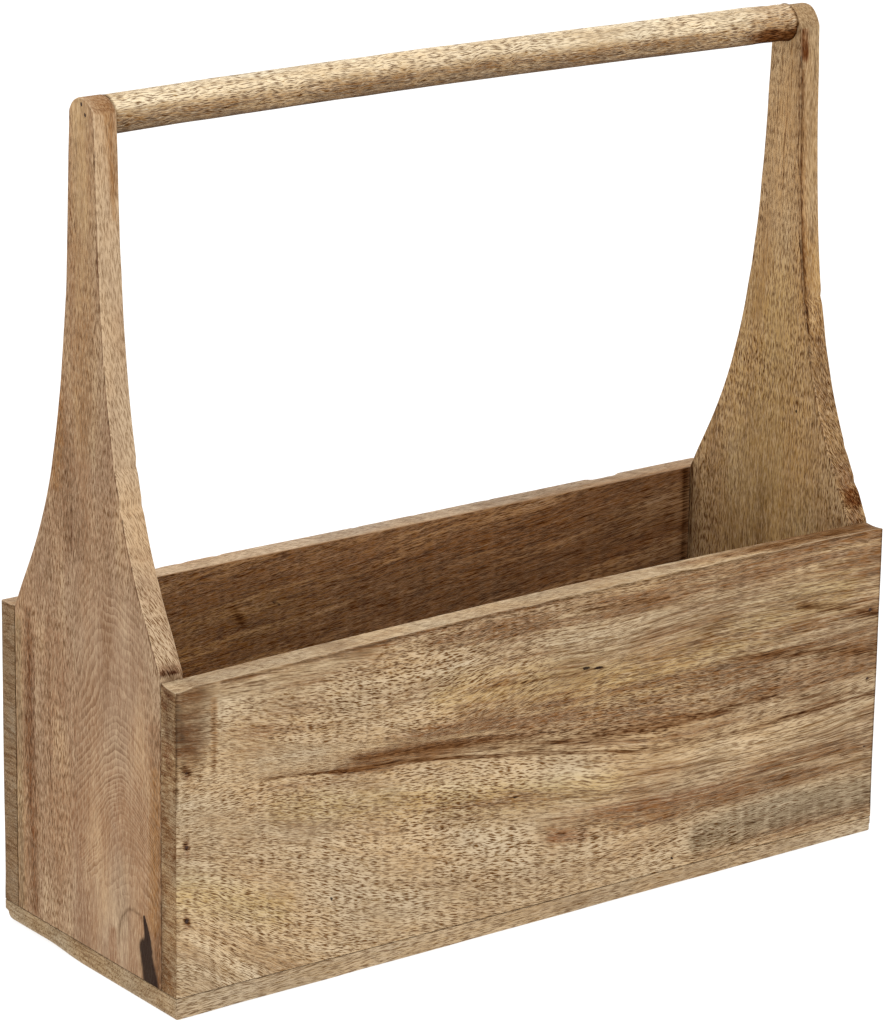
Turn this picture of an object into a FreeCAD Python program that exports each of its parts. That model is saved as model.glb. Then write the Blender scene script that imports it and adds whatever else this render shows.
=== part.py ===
import FreeCAD, Part
import math
import os
import Sketcher

# Open wooden tool tote: a nailed box with two tall ends that carry a round handle.
# Millimetres. X runs along the tote, Y from front to back, Z up.
# The origin is the centre of the underside of the bottom board.

os.makedirs("parts", exist_ok=True)
doc = FreeCAD.newDocument("tool_tote")

# ---------------------------------------------------------------- driving sizes
SIZES = [
    ("tote_length", 410, "outside length of the box and its bottom board"),
    ("tote_depth", 144, "outside depth, front face to back face"),
    ("overall_height", 402, "floor to the crown of the end panels"),
    ("box_height", 157, "floor to the top of the back board and the shoulders"),
    ("front_low_height", 154.5, "floor to the top of the front board at its low left end"),
    ("board_thickness", 12, "stock of the front and back boards"),
    ("end_thickness", 12, "stock of the two end panels"),
    ("bottom_thickness", 9.5, "stock of the bottom board"),
    ("corner_round", 3, "rounding of the bottom board's four corners"),
    ("foot_round", 1.6, "rounding of the bottom board's lower edge"),
    ("arris_round", 0.8, "rounding of the other sanded edges"),
    ("stem_top_width", 19.2, "width of an end panel where its crown starts"),
    ("stem_base_width", 30.3, "width of an end panel where the stem meets the sweep"),
    ("stem_length", 90, "straight stem from the crown's corners down to the sweep"),
    ("crown_rise", 5.5, "height of the rounded crown above its corners"),
    ("crown_corner_round", 1.5, "rounding of the crown's two corners"),
    ("dowel_diameter", 18, "handle dowel"),
    ("dowel_bow", 1.8, "rise of the dowel's middle above its ends"),
    ("brad_shank", 1.3, "brad shank diameter"),
    ("brad_head", 2.0, "brad head diameter"),
    ("brad_head_height", 0.8, "brad head height"),
    ("brad_length", 28, "brad length over head and point"),
    ("brad_point", 2, "length of the brad's point"),
    ("brad_set", 0.4, "depth of a set head below the wood"),
    ("brad_clearance", 0.02, "radial room around a brad in its hole"),
    ("brad_tip_room", 0.3, "room past a brad's point"),
    ("corner_brad_height", 46, "floor to the lowest brad of a corner joint"),
    ("corner_brad_pitch", 35, "spacing of the brads up a corner joint"),
    ("corner_brad_count", 3, "brads up each corner joint"),
    ("side_brad_pitch", 110, "spacing of the bottom brads along the front and back"),
    ("side_brad_count", 4, "bottom brads along the front, and along the back"),
    ("end_brad_spread", 70, "distance between the two bottom brads of an end panel"),
    ("handle_brad_rise", 5.9, "upper handle brad above the dowel's centre"),
    ("handle_brad_drop", 4.2, "lower handle brad below the upper one"),
    ("handle_brad_step", 2.9, "lower handle brad forward of the upper one"),
]

sheet = doc.addObject("Spreadsheet::Sheet", "sizes")
for row, (alias, number, note) in enumerate(SIZES, start=1):
    sheet.set(f"A{row}", alias)
    sheet.set(f"B{row}", str(number))
    sheet.set(f"C{row}", note)
    sheet.setAlias(f"B{row}", alias)
doc.recompute()

# Places that several pieces share, as expressions of the driving sizes.
HALF_LENGTH = "sizes.tote_length / 2"
HALF_DEPTH = "sizes.tote_depth / 2"
BOARD_CENTRE = "(sizes.tote_depth - sizes.board_thickness) / 2"
END_CENTRE = "(sizes.tote_length - sizes.end_thickness) / 2"
INSIDE_LENGTH = "(sizes.tote_length - 2 * sizes.end_thickness)"
INSIDE_DEPTH = "(sizes.tote_depth - 2 * sizes.board_thickness)"
CROWN_CORNER = "(sizes.overall_height - sizes.crown_rise)"
DOWEL_END = "(sizes.overall_height - sizes.dowel_diameter / 2)"
BRAD_TOP = "sizes.brad_set"


def evaluate(expression):
    """Return an expression of the sheet's sizes as a plain number."""
    return float(sheet.evalExpression(expression))


# ---------------------------------------------------------------- helpers
def new_body(name, places=()):
    """Make a body whose Label is the node's name; places bind its Placement."""
    body = doc.addObject("PartDesign::Body", name)
    body.Label = name
    body.AllowCompound = True
    for axis, expression in places:
        body.setExpression(f".Placement.Base.{axis}", expression)
    return body


def origin_part(body, role):
    """Return the plane or axis of a body's own origin that has this role."""
    return next(part for part in body.Origin.OriginFeatures if part.Role == role)


def new_sketch(body, name, plane, offsets=(), turn=0):
    """Attach a sketch to a plane of the body, shifted by bound offsets and turned in its plane."""
    sketch = body.newObject("Sketcher::SketchObject", name)
    sketch.AttachmentSupport = [(origin_part(body, plane), "")]
    sketch.MapMode = "FlatFace"
    spin = FreeCAD.Rotation(FreeCAD.Vector(0, 0, 1), turn)
    sketch.AttachmentOffset = FreeCAD.Placement(FreeCAD.Vector(), spin)
    for axis, expression in offsets:
        sketch.setExpression(f".AttachmentOffset.Base.{axis}", expression)
    return sketch


def dimension(sketch, kind, expression, *geometry):
    """Add a driving constraint and bind it to an expression."""
    index = sketch.addConstraint(Sketcher.Constraint(kind, *geometry, evaluate(expression)))
    sketch.setExpression(f"Constraints[{index}]", expression)


def draw_outline(sketch, corners):
    """Draw a closed polygon through corners given as pairs of expressions and fix each corner."""
    spots = [FreeCAD.Vector(evaluate(x), evaluate(y), 0) for x, y in corners]
    sides = []
    for start, end in zip(spots, spots[1:] + spots[:1]):
        sides.append(sketch.addGeometry(Part.LineSegment(start, end), False))
    for side, following in zip(sides, sides[1:] + sides[:1]):
        sketch.addConstraint(Sketcher.Constraint("Coincident", side, 2, following, 1))
    for side, (x, y) in zip(sides, corners):
        fix_point(sketch, side, 1, x, y)


def fix_point(sketch, geometry, end, x, y):
    """Hold one point of a sketch at a place given as two expressions."""
    for kind, expression in (("DistanceX", x), ("DistanceY", y)):
        dimension(sketch, kind, expression, -1, 1, geometry, end)


def pad(body, sketch, name, length, midplane=False):
    """Pad a sketch by a bound length."""
    feature = body.newObject("PartDesign::Pad", name)
    feature.Profile = sketch
    feature.Midplane = midplane
    feature.setExpression("Length", length)
    doc.recompute()
    return feature


def round_edges(body, name, radius, wanted):
    """Fillet every edge of the body's tip that passes the test."""
    tip = body.Tip
    chosen = [f"Edge{number}" for number, edge in enumerate(tip.Shape.Edges, 1) if wanted(edge)]
    fillet = body.newObject("PartDesign::Fillet", name)
    fillet.Base = (tip, chosen)
    fillet.setExpression("Radius", radius)
    doc.recompute()
    return fillet


def edge_runs(edge, axis):
    """Say whether a straight edge runs along an axis: 0 for X, 1 for Y, 2 for Z."""
    if not isinstance(edge.Curve, Part.Line):
        return False
    return abs(edge.tangentAt(edge.FirstParameter)[axis]) > 0.99


def line_up(body, name, role, spacing, count):
    """Make the row part of a repeated feature along one of the body's axes."""
    row = body.newObject("PartDesign::LinearPattern", name)
    row.Direction = (origin_part(body, role), [""])
    row.Mode = "Spacing"
    row.setExpression("Offset", spacing)
    row.setExpression("Occurrences", count)
    return row


def reflect(body, name, role):
    """Make the mirror part of a repeated feature about one of the body's planes."""
    mirror = body.newObject("PartDesign::Mirrored", name)
    mirror.MirrorPlane = (origin_part(body, role), [""])
    return mirror


def repeat(body, name, feature, steps):
    """Repeat a feature by rows and mirrors, one after the other."""
    if not steps:
        return
    transform = body.newObject("PartDesign::MultiTransform", name)
    transform.Originals = [feature]
    transform.Transformations = steps
    body.Tip = transform
    doc.recompute()


# ---------------------------------------------------------------- brads and their holes
class BradGroup:
    """One group of brads: where its first brad starts, which way it points, how it repeats."""

    def __init__(self, name, plane, turn, offsets, repeats):
        self.name = name
        self.plane = plane
        self.turn = turn
        self.offsets = offsets
        self.repeats = repeats

    def profile(self, body, suffix, shifts, grow, top, tip):
        """Draw half of a brad, or of its hole, along the sketch's vertical axis."""
        offsets = [(axis, f"{place} + ({shifts[axis]})" if axis in shifts else place)
                   for axis, place in self.offsets]
        sketch = new_sketch(body, f"{self.name}_{suffix}", self.plane, offsets, self.turn)
        head = f"sizes.brad_head / 2 + {grow}"
        shank = f"sizes.brad_shank / 2 + {grow}"
        shoulder = f"{BRAD_TOP} + sizes.brad_head_height"
        point = f"{BRAD_TOP} + sizes.brad_length"
        draw_outline(sketch, [
            ("0", top),
            (head, top),
            (head, shoulder),
            (shank, shoulder),
            (shank, f"{point} - sizes.brad_point"),
            ("0", f"{point} + {tip}"),
        ])
        return sketch

    def steps(self, body, suffix, skip):
        """Make the rows and mirrors of this group that the piece needs."""
        made = []
        for index, (kind, role, *sizes) in enumerate(self.repeats):
            if role in skip:
                continue
            maker = line_up if kind == "row" else reflect
            made.append(maker(body, f"{self.name}_{suffix}_{kind}{index}", role, *sizes))
        return made

    def fill(self, body):
        """Add the group's brads to a body as separate solids."""
        sketch = self.profile(body, "pin", {}, "0", BRAD_TOP, "0")
        brad = body.newObject("PartDesign::Revolution", f"{self.name}_pin_turned")
        brad.Profile = sketch
        brad.ReferenceAxis = (sketch, ["V_Axis"])
        brad.Angle = 360
        doc.recompute()
        repeat(body, f"{self.name}_pins", brad, self.steps(body, "pin", ()))

    def drill(self, body, shifts=None, skip=()):
        """Cut the group's holes in a piece; shifts turn the tote's places into the piece's own."""
        before = body.Tip.Shape.Volume
        sketch = self.profile(body, "hole", shifts or {}, "sizes.brad_clearance", "0",
                              "sizes.brad_tip_room")
        hole = body.newObject("PartDesign::Groove", f"{self.name}_hole_bored")
        hole.Profile = sketch
        hole.ReferenceAxis = (sketch, ["V_Axis"])
        hole.Angle = 360
        doc.recompute()
        repeat(body, f"{self.name}_holes", hole, self.steps(body, "hole", skip))
        if body.Tip.Shape.Volume >= before:
            raise RuntimeError(f"{self.name} cut nothing from {body.Label}")


CORNER_ROW = ("row", "Z_Axis", "sizes.corner_brad_pitch", "sizes.corner_brad_count")
SIDE_ROW = ("row", "X_Axis", "sizes.side_brad_pitch", "sizes.side_brad_count")
LEFT_RIGHT = ("mirror", "YZ_Plane")
FRONT_BACK = ("mirror", "XZ_Plane")
FIRST_SIDE_BRAD = "-(sizes.side_brad_count - 1) * sizes.side_brad_pitch / 2"

# A sketch on XY_Plane has its own x, y and z along X, Y and Z; one on XZ_Plane along X, Z and -Y.
front_brads = BradGroup(
    "front_corner", "XY_Plane", 0,
    [("x", f"-({END_CENTRE})"), ("y", f"-({HALF_DEPTH})"), ("z", "sizes.corner_brad_height")],
    [CORNER_ROW, LEFT_RIGHT])
back_brads = BradGroup(
    "back_corner", "XY_Plane", 180,
    [("x", f"-({END_CENTRE})"), ("y", HALF_DEPTH), ("z", "sizes.corner_brad_height")],
    [CORNER_ROW, LEFT_RIGHT])
side_brads = BradGroup(
    "bottom_side", "XZ_Plane", 0,
    [("x", FIRST_SIDE_BRAD), ("z", BOARD_CENTRE)],
    [SIDE_ROW, FRONT_BACK])
end_brads = BradGroup(
    "bottom_end", "XZ_Plane", 0,
    [("x", f"-({END_CENTRE})"), ("z", "sizes.end_brad_spread / 2")],
    [LEFT_RIGHT, FRONT_BACK])
upper_handle_brads = BradGroup(
    "handle_upper", "XY_Plane", -90,
    [("x", f"-({HALF_LENGTH})"), ("z", f"{DOWEL_END} + sizes.handle_brad_rise")],
    [LEFT_RIGHT])
lower_handle_brads = BradGroup(
    "handle_lower", "XY_Plane", -90,
    [("x", f"-({HALF_LENGTH})"), ("y", "-sizes.handle_brad_step"),
     ("z", f"{DOWEL_END} + sizes.handle_brad_rise - sizes.handle_brad_drop")],
    [LEFT_RIGHT])


# ---------------------------------------------------------------- wooden pieces
def make_bottom_board():
    """The bottom: one board under everything, with rounded corners and lower edges."""
    body = new_body("bottom_board")
    sketch = new_sketch(body, "bottom_outline", "XY_Plane")
    draw_outline(sketch, [
        (f"-{HALF_LENGTH}", f"-{HALF_DEPTH}"),
        (HALF_LENGTH, f"-{HALF_DEPTH}"),
        (HALF_LENGTH, HALF_DEPTH),
        (f"-{HALF_LENGTH}", HALF_DEPTH),
    ])
    pad(body, sketch, "bottom_board_pad", "sizes.bottom_thickness")
    round_edges(body, "bottom_corners", "sizes.corner_round", lambda edge: edge_runs(edge, 2))
    middle = evaluate("sizes.bottom_thickness / 2")
    round_edges(body, "bottom_foot", "sizes.foot_round",
                lambda edge: edge.CenterOfMass.z < middle)
    side_brads.drill(body)
    end_brads.drill(body)
    return body


def make_side_board(name, centre, left_height, corner_group, corner_shift):
    """A front or back board: laps over the ends' edges and stands on the bottom."""
    body = new_body(name, [("y", centre)])
    sketch = new_sketch(body, f"{name}_outline", "XZ_Plane")
    draw_outline(sketch, [
        (f"-{HALF_LENGTH}", "sizes.bottom_thickness"),
        (HALF_LENGTH, "sizes.bottom_thickness"),
        (HALF_LENGTH, "sizes.box_height"),
        (f"-{HALF_LENGTH}", left_height),
    ])
    pad(body, sketch, f"{name}_pad", "sizes.board_thickness", midplane=True)
    middle = evaluate("(sizes.bottom_thickness + sizes.box_height) / 2")
    round_edges(body, f"{name}_arris", "sizes.arris_round",
                lambda edge: edge_runs(edge, 0) and edge.CenterOfMass.z > middle)
    corner_group.drill(body, {"y": corner_shift})
    side_brads.drill(body, {"z": f"-({BOARD_CENTRE})"}, skip=("XZ_Plane",))
    return body


def make_end_panel(name):
    """The left end: a wide foot between the boards, swept in to a tall stem with a round crown."""
    body = new_body(name, [("x", f"-({END_CENTRE})")])
    sketch = new_sketch(body, f"{name}_outline", "YZ_Plane")
    draw_end_outline(sketch)
    pad(body, sketch, f"{name}_pad", "sizes.end_thickness", midplane=True)
    shoulder = evaluate("sizes.box_height")
    half_stem = evaluate(f"{CROWN_CORNER} - sizes.stem_length / 2")
    round_edges(body, "crown_corners", "sizes.crown_corner_round",
                lambda edge: edge_runs(edge, 0) and edge.CenterOfMass.z > half_stem)
    round_edges(body, "end_arris", "sizes.arris_round",
                lambda edge: not edge_runs(edge, 0) and edge.CenterOfMass.z > shoulder)
    for group in (front_brads, back_brads, end_brads, upper_handle_brads, lower_handle_brads):
        group.drill(body, {"x": END_CENTRE}, skip=("YZ_Plane",))
    return body


def draw_end_outline(sketch):
    """Draw an end panel's outline, symmetric about the sketch's vertical axis."""
    half_foot = evaluate(f"{INSIDE_DEPTH} / 2")
    half_base = evaluate("sizes.stem_base_width / 2")
    half_top = evaluate("sizes.stem_top_width / 2")
    floor = evaluate("sizes.bottom_thickness")
    shoulder = evaluate("sizes.box_height")
    corner = evaluate(CROWN_CORNER)
    stem = evaluate("sizes.stem_length")
    rise = evaluate("sizes.crown_rise")
    base = corner - stem

    # The sweep is the arc that leaves the stem in line with it and reaches the shoulder.
    taper = math.atan2(half_base - half_top, stem)
    chord = math.hypot(half_foot - half_base, base - shoulder)
    lean = math.atan2(half_foot - half_base, base - shoulder)
    sweep = chord / (2 * math.sin(lean - taper))
    centre_y = half_base + sweep * math.cos(taper)
    centre_z = base + sweep * math.sin(taper)
    turn_end = 2 * lean - taper
    crown = (half_top ** 2 + rise ** 2) / (2 * rise)
    spread = math.asin(half_top / crown)

    def at(y, z):
        return FreeCAD.Vector(y, z, 0)

    def arc(middle, radius, first, last):
        return Part.ArcOfCircle(Part.Circle(middle, FreeCAD.Vector(0, 0, 1), radius), first, last)

    foot, right, right_sweep, right_stem, top, left_stem, left_sweep, left = range(8)
    for edge in (
        Part.LineSegment(at(-half_foot, floor), at(half_foot, floor)),
        Part.LineSegment(at(half_foot, floor), at(half_foot, shoulder)),
        arc(at(centre_y, centre_z), sweep, math.pi + taper, math.pi + turn_end),
        Part.LineSegment(at(half_base, base), at(half_top, corner)),
        arc(at(0, corner + rise - crown), crown, math.pi / 2 - spread, math.pi / 2 + spread),
        Part.LineSegment(at(-half_top, corner), at(-half_base, base)),
        arc(at(-centre_y, centre_z), sweep, -turn_end, -taper),
        Part.LineSegment(at(-half_foot, shoulder), at(-half_foot, floor)),
    ):
        sketch.addGeometry(edge, False)

    for first, first_end, second, second_end in (
        (foot, 2, right, 1), (right, 2, right_sweep, 2), (right_stem, 2, top, 1),
        (top, 2, left_stem, 1), (left_sweep, 1, left, 1), (left, 2, foot, 1),
    ):
        sketch.addConstraint(
            Sketcher.Constraint("Coincident", first, first_end, second, second_end))
    sketch.addConstraint(Sketcher.Constraint("Tangent", right_sweep, 1, right_stem, 1))
    sketch.addConstraint(Sketcher.Constraint("Tangent", left_sweep, 2, left_stem, 2))
    fix_point(sketch, foot, 1, f"-{INSIDE_DEPTH} / 2", "sizes.bottom_thickness")
    fix_point(sketch, right, 1, f"{INSIDE_DEPTH} / 2", "sizes.bottom_thickness")
    fix_point(sketch, right, 2, f"{INSIDE_DEPTH} / 2", "sizes.box_height")
    fix_point(sketch, right_stem, 1, "sizes.stem_base_width / 2", f"{CROWN_CORNER} - sizes.stem_length")
    fix_point(sketch, right_stem, 2, "sizes.stem_top_width / 2", CROWN_CORNER)
    fix_point(sketch, left_stem, 1, "-sizes.stem_top_width / 2", CROWN_CORNER)
    fix_point(sketch, left_stem, 2, "-sizes.stem_base_width / 2", f"{CROWN_CORNER} - sizes.stem_length")
    fix_point(sketch, left, 1, f"-{INSIDE_DEPTH} / 2", "sizes.box_height")
    dimension(sketch, "Radius",
              "(sizes.stem_top_width ^ 2 / 4 + sizes.crown_rise ^ 2) / (2 * sizes.crown_rise)", top)


def make_dowel():
    """The handle: a round dowel with a slight upward bow, cut square between the ends."""
    body = new_body("handle_dowel")
    bow_radius = f"({INSIDE_LENGTH} ^ 2 / (8 * sizes.dowel_bow) + sizes.dowel_bow / 2)"
    section = new_sketch(body, "dowel_section", "YZ_Plane",
                         [("y", f"{DOWEL_END} + sizes.dowel_bow - {bow_radius}")])
    middle = FreeCAD.Vector(0, evaluate(bow_radius), 0)
    ring = Part.Circle(middle, FreeCAD.Vector(0, 0, 1), evaluate("sizes.dowel_diameter / 2"))
    section.addGeometry(ring, False)
    dimension(section, "Radius", "sizes.dowel_diameter / 2", 0)
    fix_point(section, 0, 3, "0", bow_radius)
    bent = body.newObject("PartDesign::Revolution", "dowel_bent")
    bent.Profile = section
    bent.ReferenceAxis = (section, ["H_Axis"])
    bent.Midplane = True
    bent.setExpression(
        "Angle", f"2 * asin({INSIDE_LENGTH} / 2 / ({bow_radius} - sizes.dowel_diameter))")
    doc.recompute()
    untrimmed = body.Tip.Shape.Volume

    trim = new_sketch(body, "dowel_trim", "XZ_Plane")
    low = f"{DOWEL_END} - sizes.dowel_diameter"
    high = f"{DOWEL_END} + sizes.dowel_diameter"
    for side in ("", "-"):
        near = f"{side}{INSIDE_LENGTH} / 2"
        far = f"{side}({INSIDE_LENGTH} / 2 + sizes.dowel_diameter)"
        draw_outline(trim, [(near, low), (far, low), (far, high), (near, high)])
    cut = body.newObject("PartDesign::Pocket", "dowel_trimmed")
    cut.Profile = trim
    cut.Midplane = True
    cut.setExpression("Length", "2 * sizes.dowel_diameter")
    doc.recompute()
    if body.Tip.Shape.Volume >= untrimmed:
        raise RuntimeError("the dowel's ends were not cut square")
    upper_handle_brads.drill(body)
    lower_handle_brads.drill(body)
    return body


def make_brads(name, *groups):
    """One node of identical brads, each a separate solid."""
    body = new_body(name)
    for group in groups:
        group.fill(body)
    return body


# ---------------------------------------------------------------- the tote
bottom_board = make_bottom_board()
front_board = make_side_board("front_board", f"-({BOARD_CENTRE})", "sizes.front_low_height",
                              front_brads, BOARD_CENTRE)
back_board = make_side_board("back_board", BOARD_CENTRE, "sizes.box_height",
                             back_brads, f"-({BOARD_CENTRE})")
left_end = make_end_panel("left_end")
right_end = doc.addObject("Part::Mirroring", "right_end")
right_end.Source = left_end
right_end.Normal = FreeCAD.Vector(1, 0, 0)
handle_dowel = make_dowel()
front_board_brads = make_brads("front_board_brads", front_brads)
back_board_brads = make_brads("back_board_brads", back_brads)
bottom_board_brads = make_brads("bottom_board_brads", side_brads, end_brads)
handle_brads = make_brads("handle_brads", upper_handle_brads, lower_handle_brads)
doc.recompute()

nodes = [bottom_board, front_board, back_board, left_end, right_end, handle_dowel,
         front_board_brads, back_board_brads, bottom_board_brads, handle_brads]

# ---------------------------------------------------------------- checks and files
for item in doc.Objects:
    if "Invalid" in item.State or "Error" in item.State:
        raise RuntimeError(f"{item.Name} failed: {item.State}")
for node in nodes:
    if node.Shape.isNull() or not node.Shape.isValid():
        raise RuntimeError(f"{node.Label} has no valid shape")
for node in nodes:
    node.Shape.exportStep(f"parts/{node.Label}.step")
    print(f"{node.Label}: {len(node.Shape.Solids)} solids, {node.Shape.Volume:.1f} mm3")
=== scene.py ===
import logging
import math
from dataclasses import dataclass, field
from enum import Enum

import bpy
import numpy as np
from mathutils import Matrix, Vector


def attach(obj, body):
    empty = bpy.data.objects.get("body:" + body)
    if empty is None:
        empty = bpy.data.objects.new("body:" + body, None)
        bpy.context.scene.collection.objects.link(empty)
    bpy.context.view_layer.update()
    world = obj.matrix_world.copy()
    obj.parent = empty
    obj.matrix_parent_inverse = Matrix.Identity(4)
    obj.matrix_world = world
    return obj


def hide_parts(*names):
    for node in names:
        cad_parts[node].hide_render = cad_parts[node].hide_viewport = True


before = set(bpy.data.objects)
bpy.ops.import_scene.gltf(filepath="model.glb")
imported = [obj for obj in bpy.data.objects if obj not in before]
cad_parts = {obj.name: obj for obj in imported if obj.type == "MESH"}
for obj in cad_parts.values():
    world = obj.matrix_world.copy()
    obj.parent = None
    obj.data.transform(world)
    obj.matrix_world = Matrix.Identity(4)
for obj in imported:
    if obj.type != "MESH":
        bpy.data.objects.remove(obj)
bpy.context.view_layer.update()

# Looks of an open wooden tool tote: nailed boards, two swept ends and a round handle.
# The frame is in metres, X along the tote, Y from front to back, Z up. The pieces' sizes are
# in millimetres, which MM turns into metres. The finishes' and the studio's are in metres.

MM = 0.001
log = logging.getLogger("tool_tote")

Colour = tuple[float, float, float]
Point = tuple[float, float]
Place = tuple[float, float, float]
Socket = bpy.types.NodeSocket

# Where a piece stores its marks, three tints to a vector.
MARK_VECTORS = ("marks_a", "marks_b", "marks_c", "marks_d")
DOT_LENGTH = 1e-6

# Where the lines of a block's surface run: round its edges, and round a nail hole.
ROUNDING_ANGLES = (45, 31, 16, 0)
HOLE_LINES = (-1.4, -1.0, -0.5, 0.0, 0.5, 1.0, 1.4)
CLOSEST_LINES = 0.13
THROUGH_STEP = 2.4
JOINT_STEP = 2.6
LEAST_ROUNDING = 0.35

# The depth of a nail hole, and the radius of each kind.
HOLE_DEPTH = 0.65
SIDE_HOLE = 1.0
CROWN_HOLE = 0.8

# The crown's reach down the stem, how bluntly the growth rings' arches turn, how far apart
# they are above the last stated one, and the heights that they fade out between.
CROWN_REACH = 28
ARCH_BEND = 10.0
ARCH_GAP = 16
ARCH_FOOT = (44, 60)
ARCH_HEAD = (160, 195)

# The handle's flats in each metre, along it and round it, the way round it that a degree
# takes, and where its filler starts and ends.
FLATS_PER_METRE = (26.0, 170.0, 170.0)
ROUND_PER_DEGREE = 0.16
FILLER_START = (166, 176)
FILLER_END = (191, 193)

# How far each piece's figure is shifted along and across its grain, so that no two show
# the same.
BOTTOM_FIGURE = (500, 90)
SIDE_FIGURE = 1000
END_FIGURE = 700
HANDLE_FIGURE = 3000

# What the wood is multiplied by where it is olive, between its fibres, in its rings, where
# it is sawn, on end grain and its years, in joints, and under grime and painted shade.
OLIVE_SHADE = (0.98, 0.97, 0.78)
FIBRE_SHADE = (0.28, 0.16, 0.02)
RING_SHADE = (0.42, 0.32, 0.24)
SAWN_SHADE = (0.42, 0.35, 0.28)
END_SHADE = (0.52, 0.48, 0.42)
YEAR_SHADE = (0.55, 0.44, 0.34)
JOINT_SHADE = (0.16, 0.11, 0.08)
GRIME_AND_SHADE_TINT = (0.30, 0.23, 0.17)


def linear(red: int, green: int, blue: int) -> Colour:
    """Turn a colour of 0 to 255 as a screen shows it into linear light.

    Args:
        red, green, blue: the screen's values.

    Returns:
        The same colour as the shaders want it.
    """
    def curve(value: float) -> float:
        """Undo the screen's own curve for one of them."""
        return value / 12.92 if value <= 0.04045 else ((value + 0.055) / 1.055) ** 2.4
    return curve(red / 255), curve(green / 255), curve(blue / 255)


def smooth_step(low: float, high: float, value: np.ndarray) -> np.ndarray:
    """Rise smoothly from 0 at low to 1 at high.

    Args:
        low, high: where the rise starts and ends.
        value: the values to judge.

    Returns:
        An array of 0 to 1.
    """
    share = np.clip((value - low) / (high - low), 0.0, 1.0)
    return share * share * (3.0 - 2.0 * share)


@dataclass(frozen=True)
class SmoothNoise:
    """Seeded smooth noise over millimetres, the same on every run."""

    seed: int
    cells: int = 32
    shift: float = 0.37

    def at(self, points: np.ndarray, wave: Place) -> np.ndarray:
        """Sample the noise.

        Args:
            points: rows of X, Y, Z in millimetres.
            wave: the size of one bump along each axis.

        Returns:
            Values between -1 and 1.
        """
        lattice = np.random.default_rng(self.seed).uniform(-1, 1, (self.cells,) * 3)
        place = points / np.array(wave) + self.shift
        cell = np.floor(place)
        share = place - cell
        share = share * share * (3 - 2 * share)
        cell = cell.astype(int)
        total = np.zeros(len(points))
        for corner in np.ndindex(2, 2, 2):
            index = (cell + np.array(corner)) % self.cells
            weight = np.prod(np.where(np.array(corner) == 1, share, 1 - share), axis=1)
            total += weight * lattice[index[:, 0], index[:, 1], index[:, 2]]
        return total


# ---------------------------------------------------------------- marks in the wood
class Tint(Enum):
    """What a mark does to the wood, and its place in the marks stored on a piece."""

    DARK = 0
    # Paler wood; also painted highlights along the handle's top and the left crown's outer arris.
    PALE = 1
    RED = 2
    GREY = 3
    OCHRE = 4
    SOOT = 5
    # Browner wood; also painted shade inside the box and under the handle.
    WARM = 6
    LONG = 7
    # Real grime, and also painted shade inside the box and under the handle.
    GRIME_AND_SHADE = 8
    SAWN = 9
    OLIVE = 10
    CLEAR = 11

    def marks(self, *rows: tuple, soft: float = 1.0) -> tuple["Mark", ...]:
        """Lay marks of this tint.

        Args:
            rows: for each mark its strength, then its stops.
            soft: the share of the width over which the marks fade out.

        Returns:
            The marks.
        """
        return tuple(Mark(self, tuple(stops), strength, soft) for strength, *stops in rows)


class Face(Enum):
    """A side of a board: the axis it faces along, and which way."""

    FRONT = (1, -1)
    BACK = (1, 1)
    LEFT = (0, -1)
    RIGHT = (0, 1)
    TOP = (2, 1)
    UNDER = (2, -1)

    def places(self, points: np.ndarray) -> np.ndarray:
        """Return the two coordinates of each point along this face."""
        return np.delete(points, self.value[0], axis=1)

    def shown(self, normals: np.ndarray) -> np.ndarray:
        """Say how far each normal looks this way, from 0 to 1."""
        axis, side = self.value
        return smooth_step(0.30, 0.80, side * normals[:, axis])


@dataclass(frozen=True)
class Mark:
    """A streak, patch or spot through stops, each two coordinates and a width."""

    tint: Tint
    stops: tuple[Place, ...]
    strength: float
    soft: float

    def lay(self, total: np.ndarray, places: np.ndarray, shown: np.ndarray | float = 1.0) -> None:
        """Lay the mark over those that are there.

        Args:
            total: one row for each place and one column for each Tint.
            places: rows of two coordinates on the face.
            shown: how far each place belongs to the face, 0 to 1.
        """
        table = np.array(self.stops, dtype=float)
        if len(table) == 1:
            table = np.vstack((table, table + (DOT_LENGTH, DOT_LENGTH, 0.0)))
        best = np.zeros(len(places))
        for (*start, first), (*end, last) in zip(table, table[1:]):
            along = np.subtract(end, start)
            share = np.clip((places - start) @ along / (along @ along), 0, 1)
            gap = np.linalg.norm(places - start - share[:, None] * along, axis=1)
            width = first + (last - first) * share
            best = np.maximum(best, 1 - smooth_step(1 - self.soft, 1.0, gap / width))
        column = total[:, self.tint.value]
        np.maximum(column, best * self.strength * shown, out=column)


@dataclass(frozen=True)
class FlowLines:
    """Lines that the grain follows over a board's face, from its top to its foot."""

    levels: tuple[float, ...]
    lines: tuple[tuple[Point, ...], ...]
    blur: float = 18.0

    def level(self, along: np.ndarray, across: np.ndarray) -> np.ndarray:
        """Find which line of grain passes each place.

        Args:
            along: distance along the grain.
            across: distance across it.

        Returns:
            The level of the line there, between the stated ones.
        """
        shifts = np.linspace(-self.blur, self.blur, 7)
        heights = np.array([np.mean([np.interp(along + shift, *zip(*line)) for shift in shifts],
                                    axis=0) for line in self.lines])
        result = np.full(len(along), self.levels[-1], dtype=float)
        for upper, lower, top, foot in zip(heights, heights[1:], self.levels, self.levels[1:]):
            share = (across - lower) / (upper - lower)
            inside = (share >= 0) & (share <= 1)
            result[inside] = foot + (top - foot) * share[inside]
        result = np.where(across > heights[0], self.levels[0] + across - heights[0], result)
        return np.where(across < heights[-1], self.levels[-1] + across - heights[-1], result)


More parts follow.
